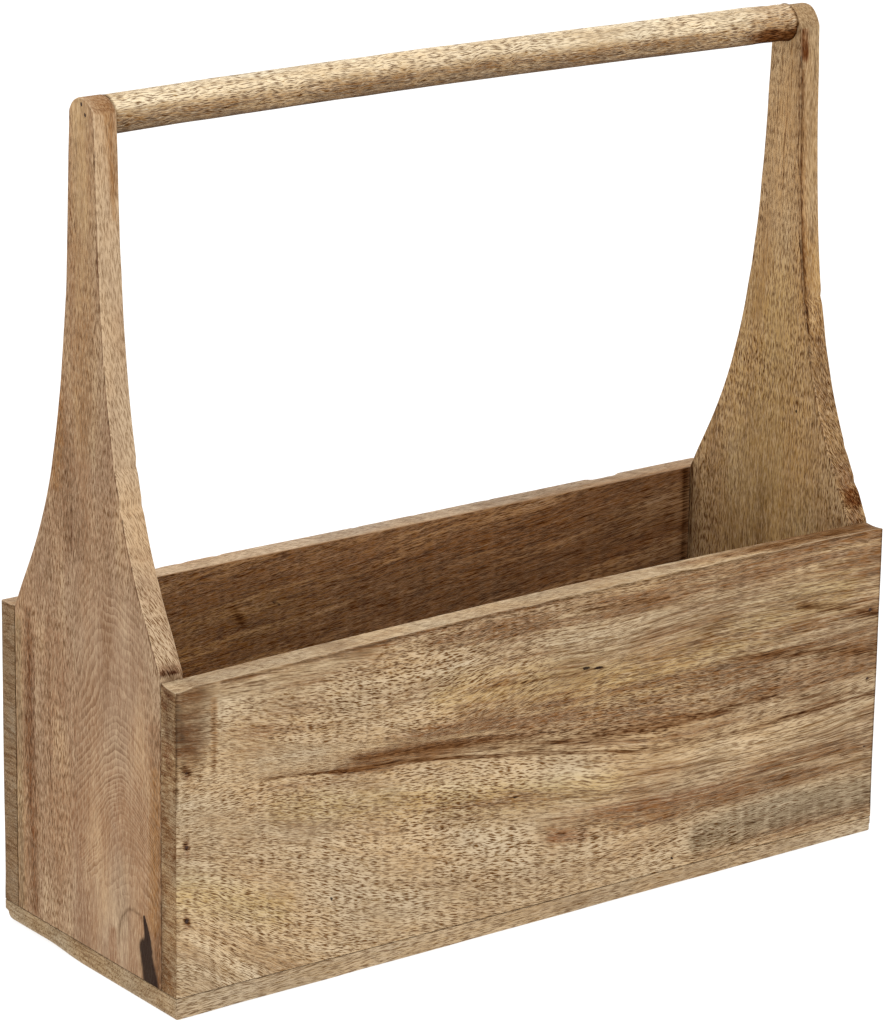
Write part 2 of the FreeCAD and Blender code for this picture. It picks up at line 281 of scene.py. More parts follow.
# ---------------------------------------------------------------- node trees
class NodeMaker:
    """Adds nodes to one tree and joins them up."""

    def __init__(self, tree: bpy.types.NodeTree) -> None:
        """Work on this tree."""
        self.tree = tree

    def node(self, kind: str, inputs: dict[int | str, object] | None = None,
             **settings: object) -> bpy.types.Node:
        """Add a node.

        Args:
            kind: the node's type name.
            inputs: what its inputs get, by name or place.
            settings: its properties.

        Returns:
            The node.
        """
        made = self.tree.nodes.new(kind)
        for key, value in settings.items():
            setattr(made, key, value)
        for key, value in (inputs or {}).items():
            self.feed(made.inputs[key], value)
        return made

    def feed(self, socket: Socket, value: object) -> None:
        """Give an input a plain value, or link another node's output to it.

        Args:
            socket: the input.
            value: a number, a tuple, a name or another node's output.
        """
        if isinstance(value, Socket):
            self.tree.links.new(value, socket)
        elif isinstance(value, tuple) and len(value) == 3 and socket.type == "RGBA":
            socket.default_value = (*value, 1.0)
        else:
            socket.default_value = value

    def math(self, operation: str, *values: object) -> Socket:
        """Return the result of one Math node."""
        return self.node("ShaderNodeMath", dict(enumerate(values)),
                         operation=operation).outputs[0]

    def times(self, first: object, *others: object) -> Socket:
        """Return the product of some values."""
        for other in others:
            first = self.math("MULTIPLY", first, other)
        return first

    def split(self, vector: object) -> tuple[Socket, ...]:
        """Return a vector's three parts."""
        return tuple(self.node("ShaderNodeSeparateXYZ", {0: vector}).outputs)


class Canvas(NodeMaker):
    """Builds one material's node tree, a step at a time."""

    def __init__(self, name: str) -> None:
        """Start an empty material.

        Args:
            name: the material's name.
        """
        self.material = bpy.data.materials.new(name)
        self.material.use_nodes = True
        super().__init__(self.material.node_tree)
        self.tree.nodes.clear()

    def attribute(self, name: str) -> Socket:
        """Return the vector of an attribute stored on the piece."""
        return self.node("ShaderNodeAttribute", attribute_name=name).outputs["Vector"]

    def scaled(self, vector: object, size: Place, offset: Place = (0, 0, 0)) -> Socket:
        """Stretch a vector so that one unit is size metres along each axis."""
        return self.node("ShaderNodeMapping", {
            "Vector": vector, "Scale": tuple(1 / part for part in size),
            "Location": offset}).outputs[0]

    def noise(self, vector: object, size: Place, offset: Place = (0, 0, 0),
              detail: float = 3.0, rough: float = 0.6, distortion: float = 0.0) -> Socket:
        """Return smooth noise, about 0.5 on average.

        Args:
            vector: what it runs over.
            size: the size of one bump along each axis, in metres.
            offset: a shift that keeps one noise unlike the others.
            detail, rough, distortion: as on Blender's own node.

        Returns:
            The noise.
        """
        return self.node("ShaderNodeTexNoise", {
            "Vector": self.scaled(vector, size, offset), "Scale": 1.0, "Detail": detail,
            "Roughness": rough, "Distortion": distortion}).outputs["Fac"]

    def cells(self, vector: Socket, dimensions: str, distance: str) -> bpy.types.Node:
        """Return a node of scattered points: its Distance, and a Color for each."""
        return self.node("ShaderNodeTexVoronoi", {"Vector": vector, "Scale": 1.0},
                         voronoi_dimensions=dimensions, distance=distance)

    def most(self, *values: object) -> Socket:
        """Find the greatest of some values.

        Args:
            values: two or more numbers or outputs.

        Returns:
            The greatest.
        """
        first, *others = values
        for other in others:
            first = self.math("MAXIMUM", first, other)
        return first

    def span(self, value: object, low: float, high: float, start: float = 0.0,
             end: float = 1.0) -> Socket:
        """Map low to high on to start to end, smoothly and clamped."""
        return self.node("ShaderNodeMapRange", dict(enumerate((value, low, high, start, end))),
                         interpolation_type="SMOOTHSTEP").outputs[0]

    def between(self, share: object, first: object, second: object) -> Socket:
        """Return a number between first and second by share."""
        return self.node("ShaderNodeMix", {0: share, 2: first, 3: second},
                         data_type="FLOAT").outputs[0]

    def blend(self, share: object, first: object, second: object, mode: str) -> Socket:
        """Mix two colours by share."""
        return self.node("ShaderNodeMix", {0: share, 6: first, 7: second},
                         data_type="RGBA", blend_type=mode).outputs[2]

    def ramp(self, value: object, stops: tuple[tuple[float, Colour], ...]) -> Socket:
        """Turn a value into a colour.

        Args:
            value: what is looked up, from 0 to 1.
            stops: places along the ramp, each with its colour.

        Returns:
            The colour.
        """
        made = self.node("ShaderNodeValToRGB", {0: value})
        points = made.color_ramp.elements
        while len(points) < len(stops):
            points.new(1.0)
        for point, (place, colour) in zip(points, stops):
            point.position = place
            point.color = (*colour, 1.0)
        return made.outputs["Color"]

    def bump(self, height: object, strength: float, distance: float) -> Socket:
        """Return a normal that follows a height map."""
        return self.node("ShaderNodeBump", {"Strength": strength, "Distance": distance,
                                            "Height": height}).outputs[0]

    def close(self, **inputs: object) -> bpy.types.Material:
        """Close the tree with a Principled shader.

        Args:
            inputs: what the shader's inputs get, with _ for each space in a name.

        Returns:
            The material.
        """
        named = {key.replace("_", " "): value for key, value in inputs.items()}
        shader = self.node("ShaderNodeBsdfPrincipled", named)
        self.node("ShaderNodeOutputMaterial", {"Surface": shader.outputs[0]})
        return self.material


class ShapeMaker(NodeMaker):
    """Builds one Geometry Nodes tree, with its sizes as named inputs."""

    def __init__(self, name: str, sizes: dict[str, float | int]) -> None:
        """Start a tree with a geometry input and one input for each size.

        Args:
            name: the tree's name.
            sizes: the sizes, by the names of their inputs.
        """
        super().__init__(bpy.data.node_groups.new(name, "GeometryNodeTree"))
        self.sizes = sizes
        kinds = {label: "NodeSocketInt" if isinstance(size, int) else "NodeSocketFloat"
                 for label, size in sizes.items()}
        faces = self.tree.interface
        for label, kind in {"Geometry": "NodeSocketGeometry", **kinds}.items():
            faces.new_socket(label, in_out="INPUT", socket_type=kind)
        faces.new_socket("Geometry", in_out="OUTPUT", socket_type="NodeSocketGeometry")
        self.given = self.node("NodeGroupInput").outputs

    def vector(self, *parts: object) -> Socket:
        """Return a vector of three parts."""
        return self.node("ShaderNodeCombineXYZ", dict(enumerate(parts))).outputs[0]

    def step(self, kind: str, inputs: dict[int | str, object], **settings: object) -> Socket:
        """Add a node and return its first output."""
        return self.node(kind, inputs, **settings).outputs[0]

    def settle(self, geometry: Socket, material: bpy.types.Material, start: bpy.types.Mesh
               ) -> bpy.types.Mesh:
        """End the tree in Realize Instances and Set Material, and run it once.

        Args:
            geometry: what the tree made.
            material: its finish.
            start: the mesh that the tree works on.

        Returns:
            The plain mesh.
        """
        real = self.step("GeometryNodeRealizeInstances", {0: geometry})
        done = self.step("GeometryNodeSetMaterial", {"Geometry": real, "Material": material})
        self.node("NodeGroupOutput", {0: done})
        carrier = new_object(start.name, start)
        modifier = carrier.modifiers.new("build", "NODES")
        modifier.node_group = self.tree
        for item in self.tree.interface.items_tree:
            if item.in_out == "INPUT" and item.name in self.sizes:
                modifier[item.identifier] = self.sizes[item.name]
        depsgraph = bpy.context.evaluated_depsgraph_get()
        depsgraph.update()
        mesh = bpy.data.meshes.new_from_object(carrier.evaluated_get(depsgraph),
                                               preserve_all_data_layers=True,
                                               depsgraph=depsgraph)
        bpy.data.objects.remove(carrier)
        return mesh


def new_object(name: str, data: bpy.types.ID) -> bpy.types.Object:
    """Make an object of this data and put it in the scene."""
    made = bpy.data.objects.new(name, data)
    bpy.context.scene.collection.objects.link(made)
    return made


def store(mesh: bpy.types.Mesh, vectors: dict[str, np.ndarray]) -> None:
    """Store a vector on each vertex, under each name."""
    for name, rows in vectors.items():
        stored = mesh.attributes.new(name, "FLOAT_VECTOR", "POINT")
        stored.data.foreach_set("vector", np.asarray(rows, dtype=np.float32).ravel())


# ---------------------------------------------------------------- finishes
@dataclass(frozen=True)
class WoodFinish:
    """Oiled hardwood: its colours, the sizes of its figure in metres, and its depths."""

    name: str
    pale: Colour
    mid: Colour
    brown: Colour
    dark: Colour
    edge: Colour
    pore: Colour = (0.22, 0.105, 0.012)
    band_size: Place = (0.240, 0.0130, 0.0200)
    streak_size: Place = (0.055, 0.0024, 0.0045)
    short_size: Place = (0.0060, 0.00060, 0.00060)
    long_size: Place = (0.0160, 0.00060, 0.00060)
    pore_size: Point = (0.0096, 0.00076)
    band_share: float = 0.38
    streak_share: float = 0.30
    fibre_depth: float = 0.80
    pore_depth: float = 0.94
    ring_depth: float = 0.0
    end_depth: float = 0.45

    def build(self) -> bpy.types.Material:
        """Return the material."""
        return WoodPainter(self).paint()


class WoodPainter(Canvas):
    """Paints bands, streaks, fibres, open pores, rings, stains, worn edges with a painted highlight, and
    painted shade, in turn.
    """

    def __init__(self, finish: WoodFinish) -> None:
        """Read what each piece stores, and make the noises that the steps share.

        Args:
            finish: the wood's colours, sizes and depths.
        """
        super().__init__(finish.name)
        self.finish = finish
        self.grain, self.dash = self.attribute("grain"), self.attribute("dash")
        stored = [part for name in MARK_VECTORS for part in self.split(self.attribute(name))]
        self.marks = dict(zip(Tint, stored))
        self.wear, self.end_grain, self.ring = self.split(self.attribute("wear"))
        self.band = self.noise(self.grain, finish.band_size, rough=0.55, distortion=0.3)
        self.streak = self.noise(self.grain, finish.streak_size, (3.1, 1.7, 0.4), 4.0)
        self.patch = self.noise(self.grain, (0.045, 0.018, 0.018), (1.9, 6.1, 3.3), rough=0.5)
        self.fibre = self.between(
            self.marks[Tint.LONG],
            self.noise(self.dash, finish.short_size, (7.3, 2.9, 5.2), 2.0),
            self.noise(self.grain, finish.long_size, (2.3, 8.9, 1.2), 2.0))

    def paint(self) -> bpy.types.Material:
        """Lay each step over the ones before it.

        Returns:
            The material.
        """
        self.bands()
        self.stains()
        self.fibres()
        pores = self.pores()
        if self.finish.ring_depth > 0:
            self.rings()
        self.saw_lines()
        self.spots()
        self.end_wood()
        self.edges()
        height = self.total((self.fibre, 0.45), (self.streak, 0.20), (pores, -0.8))
        rough = self.span(self.total((self.streak, 0.6), (pores, 0.5)), 0.0, 0.9, 0.52, 0.74)
        return self.close(Base_Color=self.colour, Roughness=rough,
                          Normal=self.bump(height, 0.45, 0.0004), Specular_IOR_Level=0.02)

    def cover(self, share: object, colour: object) -> None:
        """Lay a colour over the wood by share."""
        self.colour = self.blend(share, self.colour, colour, "MIX")

    def darken(self, share: object, colour: object) -> None:
        """Multiply the wood by a colour, by share."""
        self.colour = self.blend(share, self.colour, colour, "MULTIPLY")

    def total(self, *parts: tuple[object, float]) -> Socket:
        """Add weighted noises about their middles, so that 0.5 stays the middle.

        Args:
            parts: each noise with its weight.

        Returns:
            The sum.
        """
        result = 0.5
        for value, weight in parts:
            centred = self.math("SUBTRACT", value, 0.5)
            result = self.math("MULTIPLY_ADD", centred, weight * 3.0, result)
        return result

    def bands(self) -> None:
        """Lay the wood's own bands, and let it wander between ochre and a greyer tan."""
        finish, marks = self.finish, self.marks
        tone = self.total((self.band, finish.band_share), (self.streak, finish.streak_share),
                          (self.patch, 0.22))
        uneven = self.span(self.total((self.band, 0.5), (self.streak, 0.4)), 0.9, 0.1, 0.22, 0.58)
        tone = self.math("SUBTRACT", tone, self.times(marks[Tint.WARM], uneven))
        tone = self.math("ADD", tone, self.times(marks[Tint.PALE], 0.34))
        self.colour = self.ramp(tone, ((0.05, finish.brown), (0.50, finish.mid),
                                       (0.90, finish.pale)))
        wander = self.noise(self.grain, (0.080, 0.026, 0.030), (5.5, 0.3, 7.7), rough=0.5)
        self.darken(1.0, self.ramp(wander, ((0.38, (0.95, 0.98, 1.0)), (0.62, (1.03, 0.98, 0.88)))))
        self.darken(marks[Tint.OLIVE], OLIVE_SHADE)

    def stains(self) -> None:
        """Lay the stored stains over the wood, broken up along the grain."""
        rough = self.total((self.streak, 0.30), (self.fibre, 0.50))
        for tint, colour, broken, depth in (
                (Tint.OCHRE, linear(158, 112, 62), 0.5, 0.60),
                (Tint.RED, linear(124, 72, 38), 0.6, 0.60),
                (Tint.GREY, linear(112, 100, 80), 0.5, 0.60),
                (Tint.DARK, self.finish.dark, 1.2, 0.90)):
            amount = self.marks[tint]
            uneven = self.math("MULTIPLY_ADD", self.math("SUBTRACT", 0.5, rough), broken, amount)
            shown = self.span(uneven, 0.10, 0.95, 0.0, depth)
            self.cover(self.times(shown, self.span(amount, 0.0, 0.20)), colour)

    def fibres(self) -> None:
        """Darken and lighten the wood fibre by fibre, most of all where it is brown."""
        depth, marks = self.finish.fibre_depth, self.marks
        sunk = self.math("SUBTRACT", self.fibre, self.times(marks[Tint.WARM], 0.05))
        low = self.span(sunk, 0.34, 0.475, depth, 0.0)
        self.darken(self.times(low, self.span(marks[Tint.CLEAR], 0.0, 1.0, 1.0, 0.40)),
                    FIBRE_SHADE)
        high = self.span(sunk, 0.52, 0.63, 0.0, depth * 0.46)
        self.cover(self.times(high, self.span(marks[Tint.DARK], 0.0, 0.7, 1.0, 0.15)),
                   self.finish.edge)

    def pores(self) -> Socket:
        """Scatter the open pores, as dashes along the grain and dots on end grain.

        Returns:
            How much of a pore each place is.
        """
        marks, (length, width) = self.marks, self.finish.pore_size
        layers, rims = [], []
        for scale, least, most in ((1.0, 0.14, 0.43), (0.76, 0.14, 0.46), (1.26, 0.05, 0.31)):
            place = self.scaled(self.dash, (length * scale, width * scale, 1.0),
                                (17.3 * scale, 5.9 * scale, 0.0))
            cells = self.cells(place, "2D", "MANHATTAN")
            reach = self.span(self.split(cells.outputs["Color"])[0], 0.0, 1.0, least, most)
            near = self.math("DIVIDE", cells.outputs["Distance"], reach)
            layers.append(self.span(near, 0.56, 1.0, 1.0, 0.0))
            rims.append(self.span(near, 1.0, 1.7, 1.0, 0.0))
        crowd = self.times(self.most(self.span(self.patch, 0.30, 0.54, 0.45, 1.0),
                                     marks[Tint.WARM]),
                           self.span(marks[Tint.LONG], 0.0, 1.0, 1.0, 0.70),
                           self.span(marks[Tint.CLEAR], 0.0, 1.0, 1.0, 0.25))
        rim = self.times(self.most(rims[0], rims[1]), crowd,
                         self.span(self.end_grain, 0.0, 0.5, 0.34, 0.0),
                         self.span(marks[Tint.DARK], 0.0, 0.6, 1.0, 0.0))
        self.cover(rim, self.finish.edge)
        dots = self.cells(self.scaled(self.dash, (0.0011, 0.0011, 0.0011)), "3D", "EUCLIDEAN")
        mask = self.between(self.end_grain, self.times(self.most(*layers), crowd),
                            self.span(dots.outputs["Distance"], 0.12, 0.42, 0.55, 0.0))
        self.darken(self.times(mask, self.finish.pore_depth), self.finish.pore)
        return mask

    def rings(self) -> None:
        """Draw growth rings where the piece's ring count passes whole numbers."""
        sway = self.noise(self.grain, (0.030, 0.009, 0.009))
        count = self.math("ADD", self.ring, self.times(sway, 0.5))
        line = self.span(self.math("FRACT", count), 0.0, 0.22, 0.85, 0.0)
        fine = self.math("FRACT", self.times(count, 4.0))
        thin = self.span(fine, 0.0, 0.45, 0.55, 0.0)
        light = self.span(fine, 0.50, 0.80, 0.0, 0.60)
        uneven = self.noise(self.grain, (0.04, 0.015, 0.02), (4, 4, 4), rough=0.5)
        fade = self.times(self.span(uneven, 0.38, 0.62, 0.35, 1.0),
                          self.times(self.marks[Tint.CLEAR], self.finish.ring_depth),
                          self.span(self.ring, 0.9, 1.0, 0.0, 1.0))
        self.darken(self.times(self.most(line, thin), fade), RING_SHADE)
        self.cover(self.times(light, fade), self.finish.pale)

    def saw_lines(self) -> None:
        """Draw the fine lines that a saw leaves across the grain."""
        line = self.noise(self.grain, (0.0046, 0.024, 0.018), (6, 1, 2), 4.0, 0.7)
        sawn = self.marks[Tint.SAWN]
        self.darken(self.times(self.span(line, 0.52, 0.36, 0.0, 0.85), sawn), SAWN_SHADE)
        self.cover(self.times(self.span(line, 0.52, 0.68, 0.0, 0.5), sawn), self.finish.edge)

    def spots(self) -> None:
        """Darken knots, nail stains and glue lines."""
        soot = self.marks[Tint.SOOT]
        centred = self.math("SUBTRACT", self.fibre, 0.5)
        uneven = self.math("ADD", soot, self.times(centred, 0.5))
        shown = self.span(uneven, 0.25, 0.60, 0.0, 0.92)
        self.cover(self.times(shown, self.span(soot, 0.02, 0.20)), linear(26, 14, 14))

    def end_wood(self) -> None:
        """Darken end grain, and draw its years as lines."""
        depth = self.finish.end_depth
        self.darken(self.times(self.end_grain, depth), END_SHADE)
        year = self.noise(self.grain, (0.030, 0.0011, 0.010), (3, 3, 8))
        lines = self.span(year, 0.55, 0.38, 0.0, min(0.85, 2 * depth))
        self.darken(self.times(lines, self.end_grain), YEAR_SHADE)

    def edges(self) -> None:
        """Lighten rounded arrises as rubbed wear and as a painted highlight, and darken joints, grimy
        places and painted shade.
        """
        uneven = self.noise(self.grain, (0.010, 0.0030, 0.0030), (9, 9, 9))
        # Every rounded arris turns pale: rubbed wear, and partly a painted highlight.
        rub_and_highlight = self.times(self.most(self.wear, 0.0), self.span(uneven, 0.35, 0.65, 0.25, 0.80))
        self.cover(rub_and_highlight, self.finish.edge)
        joint = self.times(self.most(self.times(self.wear, -1.0), 0.0),
                           self.span(uneven, 0.32, 0.62, 0.40, 0.88))
        self.darken(joint, JOINT_SHADE)
        # Darken grimy places, and the painted shade that the same tint lays.
        dirt_and_shade = self.times(self.marks[Tint.GRIME_AND_SHADE], self.span(uneven, 0.30, 0.70, 0.7, 1.0))
        self.darken(dirt_and_shade, GRIME_AND_SHADE_TINT)


def brad_steel() -> bpy.types.Material:
    """Make dull, slightly rusted wire.

    Returns:
        The material.
    """
    canvas = Canvas("brad_steel")
    place = canvas.node("ShaderNodeTexCoord").outputs["Object"]
    rust = canvas.noise(place, (0.0012, 0.0012, 0.0012), detail=4.0)
    colour = canvas.ramp(rust, ((0.35, linear(70, 42, 28)), (0.65, linear(38, 25, 20))))
    return canvas.close(Base_Color=colour, Metallic=0.6,
                        Roughness=canvas.span(rust, 0.3, 0.7, 0.45, 0.8),
                        Normal=canvas.bump(rust, 0.2, 0.0002))


def studio_floor() -> bpy.types.Material:
    """Return a plain pale floor that shines a little by itself."""
    return Canvas("studio_floor").close(
        Base_Color=(0.30, 0.30, 0.30), Roughness=0.9, Specular_IOR_Level=0.0,
        Emission_Color=(1.0, 1.0, 1.0), Emission_Strength=0.82)


# ---------------------------------------------------------------- block meshes
def stations(low: float, high: float, step: float, bends: tuple[float, ...],
             fine: tuple[float, ...] = ()) -> np.ndarray:
    """Choose where the lines of a block's surface run along one axis.

    Args:
        low, high: the block's limits.
        step: the usual spacing.
        bends: the roundings of the block's edges, which get lines of their own.
        fine: places that need closer lines, such as a nail's.

    Returns:
        The sorted places.
    """
    turns = [bend * (1 - math.tan(math.radians(angle)))
             for bend in bends for angle in ROUNDING_ANGLES]
    reach = max(bends)
    count = max(1, round((high - low - 2 * reach) / step))
    places = [low + turn for turn in turns] + [high - turn for turn in turns]
    places += list(np.linspace(low + reach, high - reach, count + 1))
    places += [spot + shift for spot in fine for shift in HOLE_LINES]
    places = np.unique(np.round(places, 4))
    keep = [places[0]]
    for place in places[1:]:
        if place - keep[-1] > CLOSEST_LINES:
            keep.append(place)
    keep[-1] = places[-1]
    return np.array(keep)


@dataclass
class Block:
    """A closed surface over a box, cut by lines along each axis, ready to be shaped."""

    xs: np.ndarray
    ys: np.ndarray
    zs: np.ndarray
    points: np.ndarray = field(init=False)
    quads: np.ndarray = field(init=False)

    def __post_init__(self) -> None:
        """Join the six faces into one closed surface whose faces point outwards."""
        lists = (self.xs, self.ys, self.zs)
        sizes = [len(part) for part in lists]
        strides = (sizes[1] * sizes[2], sizes[2], 1)
        quads = []
        for axis in range(3):
            first, second = (axis + 1) % 3, (axis + 2) % 3
            rows, columns = np.meshgrid(np.arange(sizes[first] - 1),
                                        np.arange(sizes[second] - 1), indexing="ij")
            near = rows * strides[first] + columns * strides[second]
            quad = np.stack((near, near + strides[first],
                             near + strides[first] + strides[second],
                             near + strides[second]), -1).reshape(-1, 4)
            quads += [quad[:, ::-1], quad + (sizes[axis] - 1) * strides[axis]]
        joined = np.concatenate(quads)
        used, self.quads = np.unique(joined, return_inverse=True)
        self.quads = self.quads.reshape(joined.shape)
        index = np.unravel_index(used, sizes)
        self.points = np.stack([part[where] for part, where in zip(lists, index)], 1)

    def rounded(self, low: np.ndarray | Place, high: np.ndarray | Place, radius: np.ndarray
                ) -> "Skin":
        """Round the block's edges.

        Args:
            low, high: the block's limits, for all points or for each.
            radius: the rounding at each point.

        Returns:
            The rounded surface.
        """
        reach = radius[:, None]
        inner = np.clip(self.points, low + reach, high - reach)
        out = self.points - inner
        length = np.maximum(np.linalg.norm(out, axis=1), 1e-9)[:, None]
        unit = out / length
        edge = 1 - smooth_step(0.80, 1.0, np.abs(unit).max(axis=1))
        return Skin(inner + unit * reach, unit, edge, self.quads)


@dataclass
class Skin:
    """A piece's surface while it is shaped: points in millimetres, normals and edges."""

    points: np.ndarray
    normals: np.ndarray
    edge: np.ndarray
    quads: np.ndarray

    def cut(self, axis: int) -> np.ndarray:
        """Say how far the surface cuts a grain that runs along this axis."""
        return np.abs(self.normals[:, axis]) ** 4

    def sink(self, depth: np.ndarray) -> None:
        """Press the surface in by depth at each point."""
        self.points = self.points - self.normals * depth[:, None]

    def roughen(self, seed: int, wave: Place, depth: float) -> None:
        """Press smooth unevenness of up to depth in to the surface."""
        share = 0.5 + 0.5 * SmoothNoise(seed).at(self.points, wave)
        self.sink(np.clip(share, 0, 1) * depth)

    def punch(self, face: Face, spots: tuple[Point, ...], radius: float) -> None:
        """Press round nail holes into one face.

        Args:
            face: the face they are in.
            spots: their centres on the face.
            radius: the radius of each.
        """
        places = face.places(self.points)
        shown = face.shown(self.normals)
        for spot in spots:
            gap = np.linalg.norm(places - np.array(spot), axis=1)
            self.sink(HOLE_DEPTH * shown * (1 - smooth_step(radius * 0.9, radius * 1.4, gap)))

    def vectors(self, grain: np.ndarray, dash: np.ndarray, marks: np.ndarray,
                end_grain: np.ndarray, ring: np.ndarray) -> dict[str, np.ndarray]:
        """Gather what the wood shader reads from a piece.

        Args:
            grain: along, across and through the grain, in millimetres.
            dash: the same for the pores, which may lie askew to the grain.
            marks: one column for each Tint.
            end_grain: 1 where the surface cuts the grain.
            ring: the count of growth rings, or 0 for none.

        Returns:
            The vectors by name.
        """
        thirds = np.split(marks, len(MARK_VECTORS), axis=1)
        return {"grain": grain * MM, "dash": dash * MM, **dict(zip(MARK_VECTORS, thirds)),
                "wear": np.stack((self.edge, end_grain, ring), 1)}


def stand_in(piece: bpy.types.Object, node: str, slot: str) -> None:
    """Let a piece ride on the tote and stand for its CAD node.

    Args:
        piece: the finished object.
        node: the CAD node that it stands for.
        slot: not used.
    """
    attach(piece, "root")
    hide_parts(node)
    log.info("%s: %d vertices", piece.name, len(piece.data.vertices))


# ---------------------------------------------------------------- sizes and colours
@dataclass(frozen=True)
class ToteSizes:
    """The tote's main sizes in millimetres."""

    half_length: float = 205.0
    half_depth: float = 72.0
    crown: float = 402.0
    box_top: float = 157.0
    low_top: float = 154.5
    board: float = 12.0
    end: float = 12.0
    front_bow: float = 2.4
    bow_peak: float = 9.0
    joint_left: float = 10.4
    joint_right: float = 7.3
    bottom: float = 9.5

    @property
    def inner_length(self) -> float:
        """Half the length between the ends."""
        return self.half_length - self.end

    @property
    def inner_depth(self) -> float:
        """Half the depth between the boards."""
        return self.half_depth - self.board

    def share(self, along: np.ndarray) -> np.ndarray:
        """Say how far along the tote a place is, from 0 at its left end to 1."""
        return (along + self.half_length) / (2 * self.half_length)

    def joint(self, along: np.ndarray) -> np.ndarray:
        """Return the height of the bottom board's upper face along the tote."""
        return self.joint_left + (self.joint_right - self.joint_left) * self.share(along)

    def front_top(self, along: np.ndarray) -> np.ndarray:
        """Return the height of the front board's upper edge along the tote."""
        off = (along - self.bow_peak) / (self.half_length - self.bow_peak * np.sign(along))
        bow = self.front_bow * np.clip(1 - off ** 2, 0, 1) ** 1.3
        return self.low_top + (self.box_top - self.low_top) * self.share(along) + bow


SIZES = ToteSizes()

FRONT_WOOD = WoodFinish(
    name="front_wood", pale=linear(206, 184, 153), mid=linear(182, 155, 121),
    brown=linear(130, 92, 58), dark=linear(96, 58, 24), edge=linear(216, 194, 162))
BACK_WOOD = WoodFinish(
    name="back_wood", pale=linear(206, 182, 156), mid=linear(182, 140, 98),
    brown=linear(138, 95, 58), dark=linear(78, 42, 14), edge=linear(206, 176, 144),
    fibre_depth=1.0)
BOTTOM_WOOD = WoodFinish(
    name="bottom_wood", pale=linear(200, 178, 148), mid=linear(176, 152, 121),
    brown=linear(142, 114, 84), dark=linear(88, 60, 38), edge=linear(194, 172, 144),
    pore_depth=0.72, end_depth=0.32)
LEFT_WOOD = WoodFinish(
    name="left_end_wood", pale=linear(194, 165, 133), mid=linear(154, 121, 94),
    brown=linear(122, 84, 54), dark=linear(92, 52, 26), edge=linear(204, 176, 142),
    pore=(0.26, 0.14, 0.04), band_size=(0.110, 0.0150, 0.0200),
    streak_size=(0.030, 0.0030, 0.0040), short_size=(0.0050, 0.00065, 0.00065),
    pore_size=(0.0070, 0.00090), band_share=0.26, streak_share=0.22,
    fibre_depth=0.80, pore_depth=0.85, ring_depth=0.54, end_depth=0.20)
RIGHT_WOOD = WoodFinish(
    name="right_end_wood", pale=linear(200, 170, 130), mid=linear(176, 142, 102),
    brown=linear(128, 92, 56), dark=linear(94, 48, 14), edge=linear(206, 178, 142),
    pore=(0.20, 0.09, 0.01), band_size=(0.160, 0.0120, 0.0200),
    streak_size=(0.050, 0.0024, 0.0040), short_size=(0.0050, 0.00062, 0.00062),
    pore_size=(0.0066, 0.00086), band_share=0.22, streak_share=0.22,
    fibre_depth=1.0, pore_depth=1.0, end_depth=0.10)
DOWEL_WOOD = WoodFinish(
    name="dowel_wood", pale=linear(230, 211, 180), mid=linear(182, 154, 118),
    brown=linear(124, 92, 58), dark=linear(88, 48, 12), edge=linear(240, 222, 192),
    pore=(0.14, 0.055, 0.0), pore_size=(0.0080, 0.00074), short_size=(0.0046, 0.00060, 0.00060),
    long_size=(0.0100, 0.00058, 0.00058), band_share=0.16, streak_share=0.26,
    fibre_depth=1.0, pore_depth=1.0)


# ---------------------------------------------------------------- boards
@dataclass
class WoodPiece:
    """What every wooden piece has: its CAD node, a finish and its marks."""

    node: str
    finish: WoodFinish
    marks: dict[Face, tuple[Mark, ...]] = field(default_factory=dict)
    curl: float = 0.4
    curl_wave: Place = (14.0, 20.0, 6.0)

    def place(self, mesh: bpy.types.Mesh, vectors: dict[str, np.ndarray]) -> bpy.types.Object:
        """Put the mesh in the scene with what its shader reads.

        Args:
            mesh: the finished mesh.
            vectors: what its vertices store, by name.

        Returns:
            The piece.
        """
        store(mesh, vectors)
        piece = new_object(self.node + "_wood", mesh)
        stand_in(piece, self.node, self.finish.name)
        return piece

    def dress(self, skin: Skin, grain: np.ndarray, end_grain: np.ndarray,
              dash: np.ndarray | None = None, ring: np.ndarray | None = None
              ) -> bpy.types.Object:
        """Turn the shaped surface into the finished piece.

        Args:
            skin: the shaped surface.
            grain: along, across and through the grain at each point.
            end_grain: 1 where the surface cuts the grain.
            dash: the pores' own coordinates, if they lie askew to the grain.
            ring: the count of growth rings, if the piece shows them.

        Returns:
            The piece.
        """
        marks = np.zeros((len(skin.points), len(Tint)))
        for face, laid in self.marks.items():
            places, shown = face.places(skin.points), face.shown(skin.normals)
            for mark in laid:
                mark.lay(marks, places, shown)
        dash = grain if dash is None else dash
        ring = np.zeros(len(skin.points)) if ring is None else ring
        curl = self.curl * SmoothNoise(91).at(skin.points, self.curl_wave)
        flat = np.stack((dash[:, 0], dash[:, 1] + dash[:, 2] + curl, dash[:, 2]), 1)
        # Which rounded arrises get the pale rub and painted highlight, and which get the dark joint line.
        skin.edge = skin.edge * self.wear_side(skin)
        mesh = bpy.data.meshes.new(self.node + "_wood")
        mesh.from_pydata((skin.points * MM).tolist(), [], skin.quads.tolist())
        mesh.materials.append(self.finish.build())
        mesh.polygons.foreach_set("use_smooth", np.ones(len(skin.quads), dtype=bool))
        mesh.update()
        return self.place(mesh, skin.vectors(grain, flat, marks, end_grain, ring))

    def wear_side(self, skin: Skin) -> np.ndarray:
        """Say which arrises are rubbed pale and given a painted highlight, 1, and which lie in a joint, -1.
        """
        return np.ones(len(skin.points))


